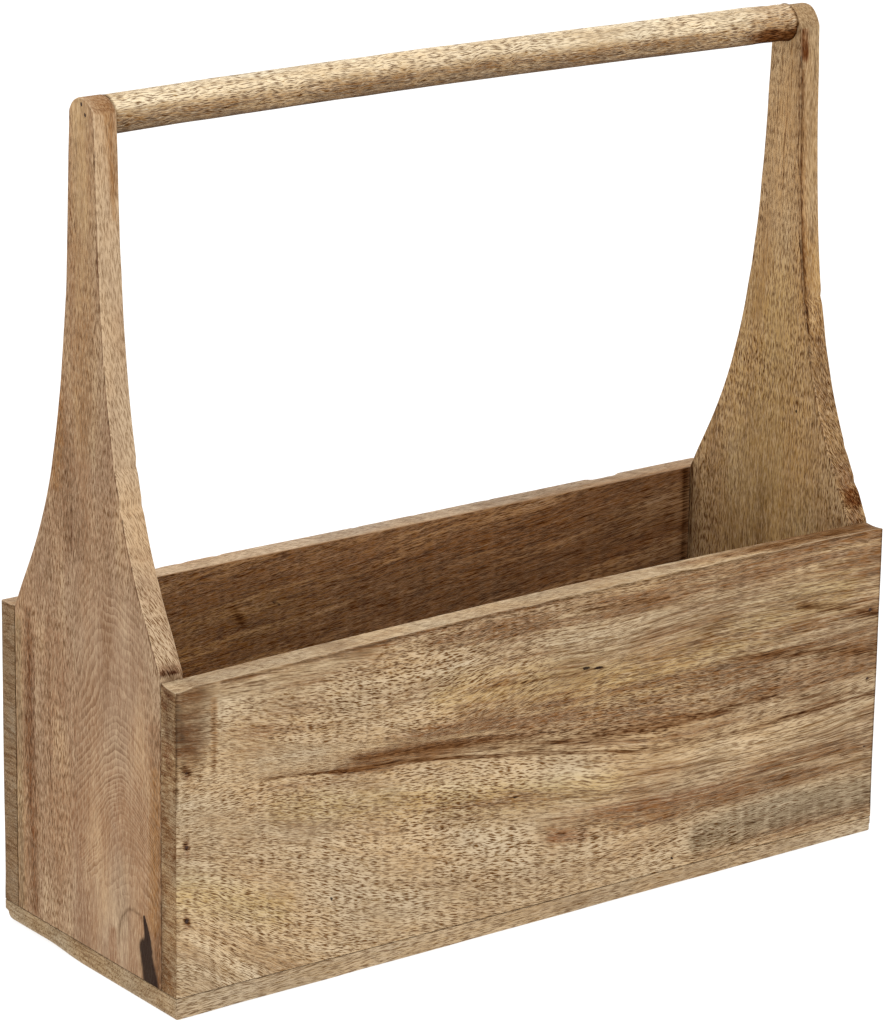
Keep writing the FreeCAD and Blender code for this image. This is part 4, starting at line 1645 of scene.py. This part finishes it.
def front_board() -> SideBoard:
    """Lay out the front board: its marks, and the lines that its grain follows.

    Returns:
        The board.
    """
    front = (
        *Tint.WARM.marks(
            (0.9, (-60, 150, 20), (40, 150, 36), (215, 140, 34)),
            (1.0, (-120, 99, 5), (-40, 108, 22), (60, 100, 34), (215, 96, 34)),
            (0.8, (0, 44, 10), (90, 40, 18), (215, 42, 16)), (0.9, (95, 16, 14), (215, 16, 16)),
            (0.3, (-150, 136, 24), (-60, 132, 20)),
            (0.55, (-60, 142, 16), (10, 132, 22), (60, 130, 24)),
            (0.5, (-60, 66, 12), (0, 62, 14), (60, 54, 10)), (0.34, (60, 80, 90), (215, 80, 110)),
            (1.0, (-197, 152, 17), (-198, 126, 15))),
        *Tint.LONG.marks(
            (1.0, (20, 130, 40), (215, 120, 60)), (1.0, (10, 60, 30), (215, 50, 60)),
            (1.0, (-110, 100, 4), (0, 86, 9), (60, 75, 10)),
            (1.0, (-190, 149, 12), (-150, 150, 12), (-100, 153, 6))),
        *Tint.DARK.marks(
            (0.8, (-160, 103.5, 0.8), (-138, 102, 1.2), (-114, 98.5, 1.7), (-70, 95, 2.0),
             (-30, 88, 2.4), (0, 84, 2.8), (20, 79, 2.6), (50, 74, 2.4), (71, 71, 2.2),
             (130, 70, 2.2), (204, 73, 2.6)),
            (0.54, (-110, 103, 2), (-60, 99, 6), (-20, 93, 8), (20, 87, 9), (70, 82, 8),
             (140, 84, 3)), (0.6, (-32, 121, 1.6), (0, 120.5, 1.6), (33, 119, 2)),
            (0.7, (19, 149, 1.8), (45, 147.5, 2.2), (71, 146, 1.8)),
            (0.55, (152, 127, 4), (180, 120, 6), (204, 113, 5)),
            (0.55, (110, 108, 3), (160, 102, 6), (204, 93, 5)), (0.5, (152, 80, 4), (204, 72, 5)),
            (0.32, (-180, 150, 4), (-147, 149, 4), (-127, 148, 3)),
            (0.35, (-166, 143, 6), (-166, 134, 4)), (0.9, (-200, 47, 2.2), (-198, 45, 1.8)),
            (0.9, (-200.5, 82, 2.2), (-198, 80, 1.8)), (0.9, (-201, 118, 2.8), (-197.5, 115, 2.0))),
        *Tint.PALE.marks(
            (0.7, (-27, 80, 4), (30, 69, 7), (80, 64, 7), (130, 62, 6), (190, 62, 4)),
            (0.32, (-180, 60, 36), (-120, 40, 32), (-60, 16, 14)), (0.9, (-200, 42, 5), (-163, 12, 5))),
        *Tint.SOOT.marks(
            (0.9, (21, 120.6, 0.9), (34, 118.4, 0.7)), (0.8, (-19, 65.2, 0.9), (-10, 64.6, 0.7)), soft=0.9),
        *Tint.RED.marks(
            (0.8, (5, 41, 8), (23, 37, 8)), (0.5, (30, 48, 8), (120, 42, 8)),
            (0.8, (-199.5, 48, 3.6), (-199, 43, 3.0)), (0.8, (-199.5, 83, 3.6), (-199, 78, 3.0)),
            (0.8, (-199.5, 118, 4.0), (-199, 113, 3.0))),
        *Tint.GREY.marks(
            (1.0, (95, 20, 16), (150, 24, 19), (200, 22, 16)),
            (0.35, (-190, 149, 12), (-150, 150, 12), (-100, 153, 6))),
        *Tint.SAWN.marks((0.26, (88, 20, 12), (150, 22, 17), (204, 20, 14))),
        *Tint.GRIME_AND_SHADE.marks((0.9, (-204.5, 158, 1.3), (-204.6, 100, 1.1)), soft=0.8),
        *Tint.SOOT.marks(
            (0.4, (-204.6, 148, 1.6), (-204.6, 118, 1.4)), (0.4, (-203, 146, 6), (-201.5, 130, 6))),
        *Tint.GRIME_AND_SHADE.marks((0.85, (204.4, 158, 1.5), (204.4, 12, 1.3)), soft=0.9),
        *Tint.OLIVE.marks(
            (0.9, (-200, 60, 16), (-150, 40, 14)), (0.8, (-150, 88, 12), (-20, 66, 14), (40, 60, 10)),
            (0.8, (-60, 125, 14), (60, 110, 22), (180, 130, 20))),
        *Tint.GRIME_AND_SHADE.marks((0.62, (-198, 152, 20), (-198, 136, 19), (-198, 122, 13)), soft=0.7),
        *Tint.RED.marks((0.42, (-197, 150, 15), (-197, 126, 14)), soft=0.8),
        *Tint.CLEAR.marks((0.7, (-197, 150, 16), (-197, 126, 14)), soft=0.8),
        *Tint.GRIME_AND_SHADE.marks(
            (0.5, (-185, 146, 2.2), (-184.6, 130, 2.0), (-185, 116, 1.6))),
        *Tint.OCHRE.marks(
            (1.0, (-185, 146, 3.8), (-184.6, 130, 3.6), (-185, 116, 2.8)),
            (0.5, (-198, 122, 9), (-196, 110, 8))),
        *Tint.CLEAR.marks((0.6, (-190, 149, 12), (-150, 150, 12), (-100, 153, 6))),
        *Tint.SOOT.marks((1.0, (-121, 38.5, 1.3)), (1.0, (78, 14, 1.3)), soft=0.8),
    )
    upper = ((-205, 172), (-60, 160), (205, 160))
    streak = ((-205, 105), (-160, 103.5), (-114, 98.5), (-70, 95), (-30, 88), (20, 79), (71, 71),
              (130, 71), (205, 74))
    lower = ((-205, 74), (-150, 58), (-100, 42), (-50, 30), (0, 22), (100, 16), (205, 18))
    foot = ((-205, 36), (-180, 16), (-163, 3), (-130, -15), (-100, -25), (0, -38), (205, -42))
    straight = ((-205, 136), (-100, 126), (-30, 122), (33, 120), (205, 119))
    askew = ((-205, 134), (-120, 112), (-60, 105), (0, 118), (60, 128), (120, 123), (205, 119))
    levels = (160, 122, 84, 40, -20)
    grain = FlowLines(levels, (upper, straight, streak, lower, foot))
    pores = FlowLines(levels, (upper, askew, streak, lower, foot))
    top = (
        *Tint.SAWN.marks((0.3, (-204, -66, 14), (204, -66, 14)), soft=0.5),
        *Tint.CLEAR.marks((0.45, (-204, -66, 14), (204, -66, 14)), soft=0.5),
        *Tint.PALE.marks((0.2, (-90, -66, 10), (-40, -66, 8)), soft=0.8),
        *Tint.GRIME_AND_SHADE.marks(
            (0.3, (-190, -66, 9), (-110, -66, 9)), (0.26, (-10, -66, 9), (50, -66, 9)),
            (0.28, (150, -66, 2), (205, -66, 16))),
        *Tint.WARM.marks((1.0, (70, -66, 3), (205, -66, 20)), soft=0.9),
        *Tint.DARK.marks((0.5, (110, -66, 6), (205, -66, 18))),
        *Tint.OCHRE.marks((0.6, (90, -66, 6), (205, -66, 18))),
    )
    left_strip = (
        *Tint.WARM.marks((0.55, (-66, 10, 14), (-66, 160, 14)), soft=0.5),
        *Tint.CLEAR.marks((0.8, (-66, 10, 16), (-66, 160, 16)), soft=0.5),
        *Tint.OCHRE.marks((0.4, (-66, 10, 10), (-66, 110, 10)), (0.5, (-64, 110, 6), (-66, 70, 5))),
        *Tint.GRIME_AND_SHADE.marks((0.65, (-66, 158, 12), (-66, 132, 6)), (0.45, (-61, 60, 2.4), (-61, 10, 3))),
        *Tint.RED.marks((0.6, (-64, 156, 6), (-65, 120, 5))),
        *Tint.DARK.marks((0.6, (-71, 150, 1.6), (-70.6, 110, 1.8), (-71, 70, 1.0))),
    )
    under_arris = [(x, float(SIZES.front_top(np.array(x))) - 1.5) for x in range(-180, 206, 22)]
    front += Tint.GRIME_AND_SHADE.marks((0.75, *((x, z, 1.1 + 0.5 * math.sin(x)) for x, z in under_arris)))
    front += Tint.WARM.marks((0.7, *((x, z, 4.0) for x, z in under_arris)))
    return SideBoard("front_board", FRONT_WOOD,
                     {Face.FRONT: front, Face.TOP: top, Face.LEFT: left_strip},
                     side=-1, seed=3, flow=grain, pore_flow=pores,
                     chips=((-203, -70, 8, 1.6), (205, -66, 4, 1.1)),
                     arris=0.6, step=1.32)


def back_board() -> SideBoard:
    """Lay out the back board and its marks.

    Returns:
        The board.
    """
    inside = (
        # The warm brown over the whole inside face, and the broad faint grime below, are painted shade for
        # the box's shaded inside.
        *Tint.WARM.marks((1.0, (-200, 80, 130), (200, 80, 130)), soft=0.5),
        *Tint.GRIME_AND_SHADE.marks(
            (0.3, (-200, 40, 100), (200, 60, 120)), (0.6, (192.0, 159, 2.6), (192.0, 60, 2.6))),
        *Tint.LONG.marks((0.6, (-200, 80, 130), (200, 80, 130)), soft=0.5),
        *Tint.OLIVE.marks((0.7, (-200, 120, 60), (-60, 120, 50))),
        *Tint.SOOT.marks(
            (0.6, (192.7, 157, 1.5), (192.3, 130, 0.9), (192.8, 90, 1.4)),
            (0.55, (-62, 132, 2.4), (-58, 130, 1.6))),
        *Tint.DARK.marks(
            (0.7, (190, 158, 3.4), (190.5, 80, 2.4)), (0.75, (-84, 131, 4.5), (-80, 126, 4.0)),
            (0.75, (-168, 116, 7), (-160, 108, 5))),
        *Tint.PALE.marks((1.0, (188.6, 154, 0.9), (189.4, 149, 0.6))),
    )
    left_strip = (
        *Tint.GREY.marks((1.0, (66, 10, 16), (66, 160, 16)), soft=0.5),
        *Tint.CLEAR.marks((0.9, (66, 10, 16), (66, 160, 16)), soft=0.5),
        *Tint.PALE.marks((0.3, (66, 10, 16), (66, 160, 16)), soft=0.5),
    )
    top = (
        *Tint.GREY.marks((0.45, (-204, 66, 14), (204, 66, 14)), soft=0.5),
        *Tint.PALE.marks((0.9, (-204, 66, 16), (-20, 66, 10), (204, 66, 12)), soft=0.8),
        *Tint.GRIME_AND_SHADE.marks(
            (0.35, (-30, 66, 8), (60, 66, 8)), (0.6, (66, 66, 14), (120, 66, 14)),
            (0.38, (120, 66, 14), (196, 66, 14))),
        *Tint.CLEAR.marks((0.6, (-204, 66, 14), (204, 66, 14)), soft=0.5),
        *Tint.SAWN.marks((0.3, (-204, 66, 14), (204, 66, 14)), soft=0.5),
    )
    outside = (
        *Tint.WARM.marks((0.8, (-150, 120, 30), (20, 100, 40), (150, 60, 30))),
        *Tint.LONG.marks((1.0, (-60, 110, 40), (180, 60, 60))),
        *Tint.DARK.marks((0.9, (-190, 62, 2), (-60, 70, 3), (90, 96, 3), (200, 104, 1.5)), soft=0.9),
        *Tint.PALE.marks((0.8, (-120, 30, 14), (40, 44, 10))),
    )
    return SideBoard("back_board", BACK_WOOD,
                     {Face.FRONT: inside, Face.BACK: outside, Face.LEFT: left_strip,
                      Face.TOP: top}, side=1, seed=23, step=1.8, tilt=0.10)


def left_end() -> EndPanel:
    """Lay out the left end, its growth rings' arches and its marks.

    Returns:
        The end.
    """
    outer = (
        *Tint.SOOT.marks(
            (1.0, (-46.2, 41.0, 1.6), (-48.4, 34, 3.9), (-49.6, 26, 6.0)),
            (1.0, (-46.9, 26.0, 8.5), (-49.8, 17, 10.0), (-51.6, 10, 11.5))),
        *Tint.GRIME_AND_SHADE.marks(
            (0.8, (-25, 20, 1.0), (-25.6, 27, 1.3), (-28, 34.5, 1.4), (-32.5, 39.8, 1.5),
             (-38, 41.6, 1.5), (-43, 40.6, 1.3), (-47, 37.5, 1.0))),
        *Tint.RED.marks(
            (0.55, (48.5, 158, 5), (48, 100, 7), (46, 40, 6), (45, 14, 3)),
            (0.8, (-21, 25, 7), (-21, 11, 9)), (0.35, (20, 150, 30), (12, 80, 34), (8, 20, 26)),
            (0.45, (-24, 98, 14), (-24, 82, 10))),
        *Tint.WARM.marks(
            (1.0, (48.5, 158, 5), (48, 100, 9), (46, 40, 8), (45, 14, 5)),
            (1.0, (-57, 130, 8), (-55, 60, 11), (-57, 12, 8)),
            (0.55, (20, 262, 9), (16, 225, 16), (10, 205, 20))),
        *Tint.DARK.marks(
            (0.36, (48.6, 150, 2.0), (47.8, 110, 4.0), (48.2, 64, 2.6)),
            (0.5, (44, 138, 1.2), (44.4, 100, 1.6), (44, 60, 1.2)),
            (0.45, (31, 160, 1.2), (31, 100, 1.7), (30, 60, 1.2)),
            (0.5, (11, 217, 1.6), (11, 195, 1.2)), (0.5, (11, 352, 0.7), (2, 338, 0.9), (-6, 326, 0.6)),
            (0.5, (12, 346, 0.7), (4, 333, 0.8))),
        *Tint.OLIVE.marks((0.8, (57, 150, 6), (57, 12, 6)), (0.6, (0, 402, 18), (0, 250, 20))),
        *Tint.GREY.marks(
            (0.7, (57, 150, 5.5), (57, 12, 5.5)), (0.35, (-28, 62, 12), (-30, 30, 10)),
            (0.35, (4, 392, 7), (5, 345, 5))),
        *Tint.OCHRE.marks(
            (0.95, (-56, 110, 8), (-54, 40, 9)), (0.75, (20, 285, 7), (22, 250, 11), (24, 225, 10)),
            (0.45, (8, 360, 8), (6, 335, 8))),
        *Tint.PALE.marks(
            (0.3, (10, 40, 22), (24, 20, 26)), (0.4, (-30, 55, 16), (-36, 20, 12)),
            (0.4, (2, 395, 10), (1, 310, 8))),
        *Tint.CLEAR.marks((1.0, (-22, 160, 46), (-24, 10, 60)), soft=0.8),
        *Tint.SOOT.marks((0.8, (46, 144, 1.2)), soft=0.9),
        *Tint.CLEAR.marks((0.75, (0, 402, 16), (0, 330, 12)), (0.3, (0, 330, 20), (0, 170, 40))),
    )
    edge = (
        *Tint.PALE.marks((0.95, (-199, 400, 16), (-199, 150, 16)), soft=0.5),
        *Tint.CLEAR.marks((0.5, (-199, 400, 16), (-199, 200, 16)), soft=0.8),
        *Tint.OCHRE.marks(
            (0.85, (-198, 398, 6), (-196.5, 372, 4.5), (-196, 350, 2.5)),
            (0.2, (-199, 205, 7), (-200, 175, 9))),
        *Tint.WARM.marks((0.9, (-196.5, 398, 6), (-195, 360, 3))),
        *Tint.DARK.marks(
            (0.7, (-198.4, 384, 1.0), (-197.4, 379, 0.8)),
            (0.9, (-206, 158.4, 3.0), (-200, 158, 2.2), (-196, 157.5, 1.0))),
        *Tint.GRIME_AND_SHADE.marks((0.8, (-199, 158, 6), (-199, 155, 6))),
        *Tint.SOOT.marks((0.42, (-206, 157.4, 2.2), (-200, 157.0, 1.4), (-196, 157.6, 0.6))),
        *Tint.RED.marks((0.8, (-205, 160, 4.6), (-193, 159, 4.0))),
    )
    top = (
        *Tint.OCHRE.marks((0.55, (-198, -10, 9), (-198, 10, 9)), soft=0.8),
        *Tint.CLEAR.marks((0.9, (-199, -10, 12), (-199, 10, 12)), soft=0.8),
        # A painted highlight along the crown's outer arris.
        *Tint.PALE.marks((0.6, (-203, -10, 3), (-203, 10, 3))),
        *Tint.GRIME_AND_SHADE.marks((0.7, (-193.2, -10, 1.2), (-193.2, 10, 1.2))),
    )
    return EndPanel("left_end", LEFT_WOOD,
                    {Face.LEFT: outer, Face.FRONT: edge, Face.TOP: top}, side=-1, seed=17,
                    arches=((-14, 172), (-17.5, 149.5), (-26, 129), (-26, 116), (-28.8, 103),
                            (-29.4, 94.4), (-30, 86), (-32.5, 77.5), (-37.5, 63), (-36, 41),
                            (-34, 10)),
                    step=1.2, chips=((-1, 242, 1.0), (-1, 225, 0.9)))


def right_end() -> EndPanel:
    """Lay out the right end and its marks.

    Returns:
        The end.
    """
    inner = (
        *Tint.SOOT.marks((1.0, (-18.5, 204, 1.2)), soft=0.8),
        *Tint.LONG.marks((0.8, (0, 400, 16), (0, 250, 30))),
        *Tint.OLIVE.marks((1.0, (0, 250, 50), (0, 100, 90))),
        *Tint.PALE.marks((0.4, (0, 392, 14), (0, 330, 14))),
        *Tint.SOOT.marks((0.5, (59.8, 158, 1.1), (59.5, 130, 0.8), (59.8, 90, 1.1))),
        *Tint.GRIME_AND_SHADE.marks((0.5, (58, 160, 3.5), (58, 10, 4.0))),
        *Tint.WARM.marks((0.35, (10, 120, 60), (10, 40, 60))),
        *Tint.CLEAR.marks((0.65, (0, 170, 70), (0, 60, 80))),
        *Tint.DARK.marks(
            (0.7, (58.6, 158, 2.2), (58.2, 120, 1.4)),
            (0.7, (-4, 350, 0.6), (-2, 330, 0.9), (-3, 312, 0.6)),
            (0.55, (3, 372, 0.5), (3.5, 345, 0.6))),
        *Tint.OCHRE.marks((0.5, (-5, 388, 5), (-5, 380, 5))),
    )
    edge = (
        *Tint.DARK.marks(
            (0.74, (193.9, 372, 1.1), (194.5, 352, 1.5), (193.9, 334, 1.0), (194.6, 312, 1.6),
             (194.0, 290, 1.3), (194.4, 262, 1.0), (193.9, 244, 0.4)),
            (0.82, (194.4, 394, 2.2), (195.0, 386, 3.6), (195.4, 379, 5.4)),
            (0.8, (200.5, 192, 1.2), (201, 188, 1.2))),
        *Tint.OCHRE.marks(
            (0.9, (195.2, 350, 2.4), (195.4, 300, 3.4), (195.2, 250, 2.0)),
            (0.7, (196, 396, 4), (197, 372, 4))),
        *Tint.RED.marks((1.0, (195.0, 394, 4.0), (195.8, 378, 4.4)), soft=0.9),
        *Tint.DARK.marks((1.0, (194.2, 386, 3.2), (195.0, 380, 4.6)), soft=0.8),
        *Tint.GRIME_AND_SHADE.marks(
            (0.75, (193.4, 376, 0.9), (193.7, 340, 1.1), (193.4, 300, 0.8), (193.7, 262, 1.1),
             (193.4, 225, 0.5)), soft=0.9),
        *Tint.RED.marks((0.7, (199, 180, 9), (199, 156, 10))),
        *Tint.DARK.marks((0.72, (204, 168, 6.0), (195, 168, 5.5)), soft=0.5),
        *Tint.PALE.marks((1.0, (194.6, 164, 1.4), (195.2, 157, 1.2)), soft=0.8),
        *Tint.OLIVE.marks((0.45, (199, 280, 16), (199, 150, 16)), soft=0.8),
        *Tint.PALE.marks((0.7, (201, 400, 10), (201.5, 260, 7))),
        *Tint.GREY.marks((0.5, (200, 400, 14), (200, 320, 10), (200, 290, 6))),
        *Tint.CLEAR.marks((0.7, (199, 400, 16), (199, 270, 16))),
        *Tint.WARM.marks((0.6, (199, 290, 16), (199, 150, 30))),
    )
    top = (
        *Tint.OCHRE.marks((0.5, (194, -8, 3), (194, 8, 3))),
        *Tint.CLEAR.marks((0.9, (199, -10, 16), (199, 10, 16)), soft=0.8),
        *Tint.GREY.marks((0.45, (199, -10, 16), (199, 10, 16)), soft=0.8),
    )
    return EndPanel("right_end", RIGHT_WOOD,
                    {Face.LEFT: inner, Face.FRONT: edge, Face.TOP: top}, side=1, seed=43,
                    top_half=10.6, crown_rise=4.0, crown_corners=(8.5, 3.0), lean=1.3,
                    inner_rub_and_highlight=0.4,
                    chips=((-1, 261, 1.0), (-1, 174, 1.4), (-1, 190, 0.8)))


# ---------------------------------------------------------------- studio
@dataclass
class Studio:
    """A pale floor, soft light all round and the camera, with its sizes in metres."""

    place: Place = (-1.21007, -1.59351, 0.79701)
    yaw: float = 0.64638
    pitch: float = 0.29806
    roll: float = 0.01559
    lens: float = 157.96
    sensor: float = 36.0
    clip: Point = (0.05, 60.0)
    sky: float = 1.08
    lamps: tuple[tuple[str, Place, float, float], ...] = (
        ("key_light", (-0.9, -1.6, 1.8), 1.4, 6.0), ("top_light", (0.1, 0.1, 2.4), 1.8, 14.0))
    aim: Place = (0.0, 0.0, 0.15)
    floor_half: float = 12.0

    def build(self) -> None:
        """Make the floor, the lights and the camera."""
        self.floor()
        self.lights()
        self.camera()

    def floor(self) -> None:
        """Lay the floor."""
        mesh = bpy.data.meshes.new("studio_floor")
        half = self.floor_half
        mesh.from_pydata([(-half, -half, 0), (half, -half, 0), (half, half, 0),
                          (-half, half, 0)], [], [(0, 1, 2, 3)])
        mesh.materials.append(studio_floor())
        floor = new_object("studio_floor", mesh)

    def lights(self) -> None:
        """Hang soft boxes and fill the room with white light."""
        world = bpy.data.worlds.new("studio")
        world.use_nodes = True
        background = world.node_tree.nodes["Background"]
        background.inputs["Color"].default_value = (1.0, 1.0, 1.0, 1.0)
        background.inputs["Strength"].default_value = self.sky
        bpy.context.scene.world = world
        for name, place, size, power in self.lamps:
            lamp = bpy.data.lights.new(name, "AREA")
            lamp.shape = "SQUARE"
            lamp.size = size
            lamp.energy = power
            light = new_object(name, lamp)
            light.location = place
            beam = Vector(self.aim) - Vector(place)
            light.rotation_euler = beam.to_track_quat("-Z", "Y").to_euler()
        bpy.context.scene.view_settings.view_transform = "Standard"

    def camera(self) -> None:
        """Stand the camera where it sees the front, the left end and into the box."""
        forward = Vector((math.sin(self.yaw) * math.cos(self.pitch),
                          math.cos(self.yaw) * math.cos(self.pitch), -math.sin(self.pitch)))
        side = Vector((math.cos(self.yaw), -math.sin(self.yaw), 0.0))
        up = side.cross(forward)
        right = side * math.cos(self.roll) + up * math.sin(self.roll)
        above = up * math.cos(self.roll) - side * math.sin(self.roll)
        data = bpy.data.cameras.new("camera")
        data.lens = self.lens
        data.sensor_width = self.sensor
        data.clip_start, data.clip_end = self.clip
        camera = new_object("camera", data)
        turn = Matrix((right, above, -forward)).transposed().to_4x4()
        camera.matrix_world = Matrix.Translation(self.place) @ turn
        bpy.context.scene.camera = camera


def main() -> None:
    """Build the tote and the studio, and log how many pieces were made."""
    logging.basicConfig(level=logging.INFO, format="%(name)s: %(message)s")
    pieces = ToolTote().build()
    Studio().build()
    log.info("%d pieces", len(pieces))


if __name__ == "__main__":
    main()
